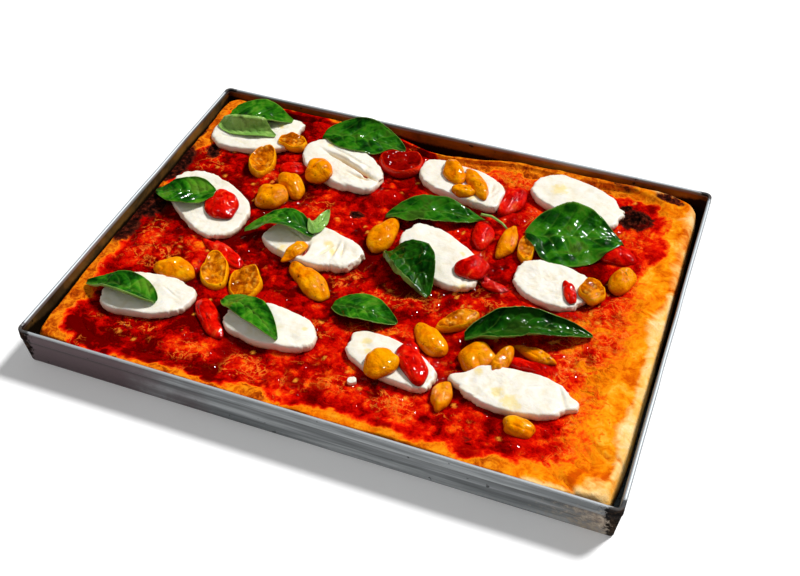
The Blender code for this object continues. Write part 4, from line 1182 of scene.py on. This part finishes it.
def yellow_look():
    skin = ((0.26, 206, 88, 0), (0.42, 236, 128, 0), (0.58, 250, 156, 2), (0.78, 255, 186, 16))
    pulp = ((0.34, 112, 40, 0), (0.48, 184, 84, 2), (0.62, 236, 138, 8))
    return tomato_look("yellow_tomato_skin", skin, pulp, (250, 184, 60), (150, 40, 0), specks=0.85, rim=0.7)


def red_look():
    skin = ((0.28, 140, 0, 0), (0.44, 206, 6, 1), (0.58, 234, 24, 6), (0.74, 250, 96, 36))
    pulp = ((0.3, 84, 0, 0), (0.7, 150, 4, 1))
    return tomato_look("red_tomato_skin", skin, pulp, (220, 60, 20), (90, 0, 0), specks=0.0, rim=0.15)


def tray_look():
    g = Graph("tray_baked_steel")
    across, deep, _ = g.split()
    inside = g.value("inside")
    streak = g.noise(30, 5, 0.62, 0.3, g.stretched((0.25, 0.25, 5.0)))
    blotch = g.noise(16, 5, 0.65, 0.4)
    fine = g.noise(300, 5, 0.7)
    steel = g.ramp(streak, (0.34, 86, 90, 92), (0.50, 130, 134, 136), (0.66, 182, 186, 188))
    steel = g.paint(steel, g.rise(g.mixed(g.value("tinted"), blotch, 1.3), 0.30, 0.95), (90, 72, 76))
    rusty = g.ramp(fine, (0.3, 104, 66, 40), (0.7, 196, 184, 164))
    rust = g.rise(g.mixed(g.mixed(g.value("rust"), blotch, 1.2), fine, 1.2), 0.40, 0.95)
    steel = g.paint(steel, rust, rusty)
    patina = g.ramp(blotch, (0.30, 36, 24, 10), (0.46, 72, 54, 30), (0.60, 132, 90, 38), (0.78, 60, 44, 24))
    brown = g.ramp(blotch, (0.30, 80, 36, 6), (0.50, 150, 76, 16), (0.70, 190, 120, 40))
    # Painted light: the inner right wall near the front is painted bright blue-grey with dark specks, as if
    # lit in the gap beside the dough.
    bluish = g.ramp(fine, (0.36, 30, 32, 34), (0.43, 168, 188, 200), (0.70, 206, 222, 232))
    patina = g.paint(g.paint(patina, g.value("warm"), brown), g.value("bluish_painted_light"), bluish)
    char = g.rise(g.mixed(g.mixed(g.value("char"), blotch, 1.4), fine, 0.5), 0.35, 0.8)
    color = g.paint(steel, inside, g.paint(patina, char, (10, 7, 5), 0.95))
    reach = g.maths("ADD", g.maths("ABSOLUTE", across), g.maths("ABSOLUTE", deep))
    to_corner = g.maths("SUBTRACT", (TRAY_LENGTH + TRAY_WIDTH) / 2 * MM, reach)
    seam = g.rise(g.mixed(g.mixed(to_corner, blotch, 0.012), fine, 0.022), 0.0125, 0.0085)
    seam = g.times(seam, g.rise(inside, 0.6, 0.3))
    color = g.paint(color, seam, g.ramp(fine, (0.45, 10, 8, 7), (0.7, 70, 50, 36)), 0.94)
    # Painted shade: dark lines along the hem's fold and under the rolled rim.
    color = g.paint(color, g.value("line"), (40, 40, 42), 0.6)
    color = g.paint(color, g.rise(g.noise(160, 2, 0.5), 0.70, 0.74), (14, 12, 12), 0.8)
    # Painted highlight along the top of the rolled rim, fainter at the corner seams.
    color = g.paint(color, g.times(g.value("rim"), g.rest_of(0.9, seam, 0.8)), (200, 206, 210))
    bright = g.maths("SUBTRACT", 1.0, g.maths("MAXIMUM", inside, seam))
    return g.finish(
        Base_Color=color, Metallic=g.times(bright, 0.35), Roughness=0.5, Normal=g.bump(fine, 0.0003, 0.4),
        Specular_IOR_Level=g.times(bright, 0.3),
    )


def tray_section():
    """The folded sheet's section: inset from the rim's outer edge, height, and the marks at that height."""
    foot, hem_low = TRAY_FOOT, TRAY_HEIGHT - HEM_DROP
    section = [(foot + 1.3, 0.0, {}), (foot + 0.4, 0.3, {}), (foot, 1.3, {})]
    for share in np.arange(1, 11) / 11:
        section.append((foot + share * (0.55 - foot), 1.3 + share * (hem_low - 1.5 - 1.3), {}))
    section += [(0.55, hem_low - 0.3, {"line": 1}), (0.25, hem_low - 0.1, {"line": 1})]
    section += [(0.05, hem_low + 0.3, {}), (0.0, hem_low + 2.5, {}), (0.05, hem_low + 5.0, {})]
    section.append((0.1, TRAY_HEIGHT - 1.2, {"line": 0.4}))
    for angle in range(0, 181, 30):
        turn = math.radians(angle)
        # The painted highlight is strongest on top of the roll.
        rim = {"rim": math.sin(turn) ** 0.5}
        section.append((1.3 - 1.2 * math.cos(turn), TRAY_HEIGHT - 0.9 + 0.9 * math.sin(turn), rim))
    for share in np.arange(1, 13) / 12:
        inset = HEM_WIDTH + share * WALL_DRAFT
        section.append((inset, TRAY_HEIGHT - 1.0 - share * 27.0, {"inside": 1}))
    return section + [(inset + 1.0, TRAY_FLOOR, {"inside": 1})]


def tray_ring(inset):
    """Points once round the tray, anticlockwise: seven in each rounded corner and 39 along each side."""
    corner = max(TRAY_CORNER - inset, 1.0)
    half_x, half_y = TRAY_LENGTH / 2 - inset - corner, TRAY_WIDTH / 2 - inset - corner
    corners = []
    for quarter, (side_x, side_y) in enumerate(((1, 1), (-1, 1), (-1, -1), (1, -1))):
        angle = math.pi / 2 * (quarter + np.arange(7) / 6)
        middle = (side_x * half_x, side_y * half_y)
        corners.append(middle + corner * np.stack([np.cos(angle), np.sin(angle)], axis=1))
    ring = []
    for here, following in zip(corners, corners[1:] + corners[:1]):
        share = np.arange(1, 40)[:, None] / 40
        ring += [here, here[-1] + share * (following[0] - here[-1])]
    ring = np.concatenate(ring)
    if inset >= DENTS_END:
        return ring
    dented = 0.35 * (1 + lattice_noise(ring[:, 0] + 2 * ring[:, 1], 0 * ring[:, 0], 46, 201)) / 2
    return ring * (1 - dented / np.abs(ring).max(axis=1))[:, None]


def make_tray(look):
    """The folded sheet, finer than the solid: wall, flat hem, rolled rim, inner wall and floor."""
    section = tray_section()
    count = len(tray_ring(0.0))
    rings = [np.column_stack([tray_ring(inset), np.full(count, height)]) for inset, height, _ in section]
    points = np.concatenate(rings + [[(0.0, 0.0, TRAY_FLOOR), (0.0, 0.0, 0.0)]])
    numbers = np.arange(count * len(rings)).reshape(len(rings), count)
    faces = bands(numbers, numbers[1:]) + fan(len(points) - 2, numbers[-1])
    faces += flipped(fan(len(points) - 1, numbers[0]))
    values = {}
    for key in ("line", "rim", "inside"):
        values[key] = np.append(np.repeat([here.get(key, 0.0) for *_, here in section], count), [0.0, 0.0])
    x, y, z = points.T
    to_corner = TRAY_LENGTH / 2 - np.abs(x) + TRAY_WIDTH / 2 - np.abs(y)
    near_right = np.exp(-(((x - 198) / 46) ** 2)) * (y < -140)
    values["rust"] = near_right * (0.5 + 0.3 * (z < TRAY_HEIGHT - HEM_DROP))
    values["tinted"] = ease(20, -160, x) * (y < -140) + 0.3 * (x < -190)
    values["warm"] = (y > 140) * 1.0
    # The inner right wall near the front: blue-grey steel painted light, and less charred.
    values["bluish_painted_light"] = ease(185, 192, x) * ease(20, -60, y)
    dark = 1 - values["bluish_painted_light"]
    values["char"] = np.clip((24 - z) / 6, 0, 1) * (0.3 + 0.7 * dark) + 0.7 * ease(40, 0, to_corner) * dark
    add_piece("tray_sheet", points, faces, look, ["tray"], values, sharp=50)


def make_stage():
    """A plain white floor that runs far past the view."""
    mesh = bpy.data.meshes.new("floor")
    corners = ((-1, -1), (1, -1), (1, 1), (-1, 1))
    mesh.from_pydata([(FLOOR_REACH * x, FLOOR_REACH * y, FLOOR_DROP) for x, y in corners], [], [(0, 1, 2, 3)])
    floor = bpy.data.objects.new("floor", mesh)
    bpy.context.scene.collection.objects.link(floor)
    white = {"Base_Color": (0.93, 0.93, 0.93), "Emission_Color": (1, 1, 1), "Emission_Strength": 0.14}
    mesh.materials.append(Graph("floor_white").finish(Roughness=0.9, **white))


def add_sun(name, come_from, energy, degrees, glints=True):
    data = bpy.data.lights.new(name, "SUN")
    data.energy = energy
    data.angle = math.radians(degrees)
    lamp = bpy.data.objects.new(name, data)
    lamp.visible_glossy = glints
    lamp.rotation_euler = Vector(come_from).to_track_quat("Z", "Y").to_euler()
    bpy.context.scene.collection.objects.link(lamp)


def make_lights():
    """A high key from the back right, a weak wide fill from the front left, and even light all round."""
    add_sun("key", KEY_FROM, 3.6, 11)
    add_sun("fill", FILL_FROM, 0.5, 70, glints=False)
    world = bpy.data.worlds.new("studio")
    world.use_nodes = True
    back = world.node_tree.nodes["Background"]
    back.inputs["Color"].default_value = (1, 1, 1, 1)
    back.inputs["Strength"].default_value = 0.18
    world.cycles_visibility.glossy = False
    bpy.context.scene.world = world
    bpy.context.scene.view_settings.view_transform = "Standard"


def make_camera():
    data = bpy.data.cameras.new("photo_view")
    data.sensor_width = SENSOR_WIDTH
    data.lens = CAMERA_LENS
    camera = bpy.data.objects.new("photo_view", data)
    camera.location = CAMERA_PLACE
    camera.rotation_euler = tuple(math.radians(angle) for angle in CAMERA_TURN)
    bpy.context.scene.collection.objects.link(camera)
    bpy.context.scene.camera = camera


def main():
    make_camera()
    make_stage()
    make_lights()
    make_tray(tray_look())
    make_dough(dough_look())
    ground = HeightMap()
    cheese = cheese_look()
    for number, spec in enumerate(MOZZARELLA, 1):
        make_slice(number, spec, cheese, ground)
    for kind, specs, look in (("red", RED_TOMATOES, red_look()), ("yellow", YELLOW_TOMATOES, yellow_look())):
        for number, spec in enumerate(specs, 1):
            make_tomato(kind, number, spec, look, ground)
    basil = basil_look()
    for number, spec in enumerate(BASIL, 1):
        make_leaf(number, spec, basil, ground)
    make_stalk(basil)
    make_sauce(sauce_look(), ground)


main()
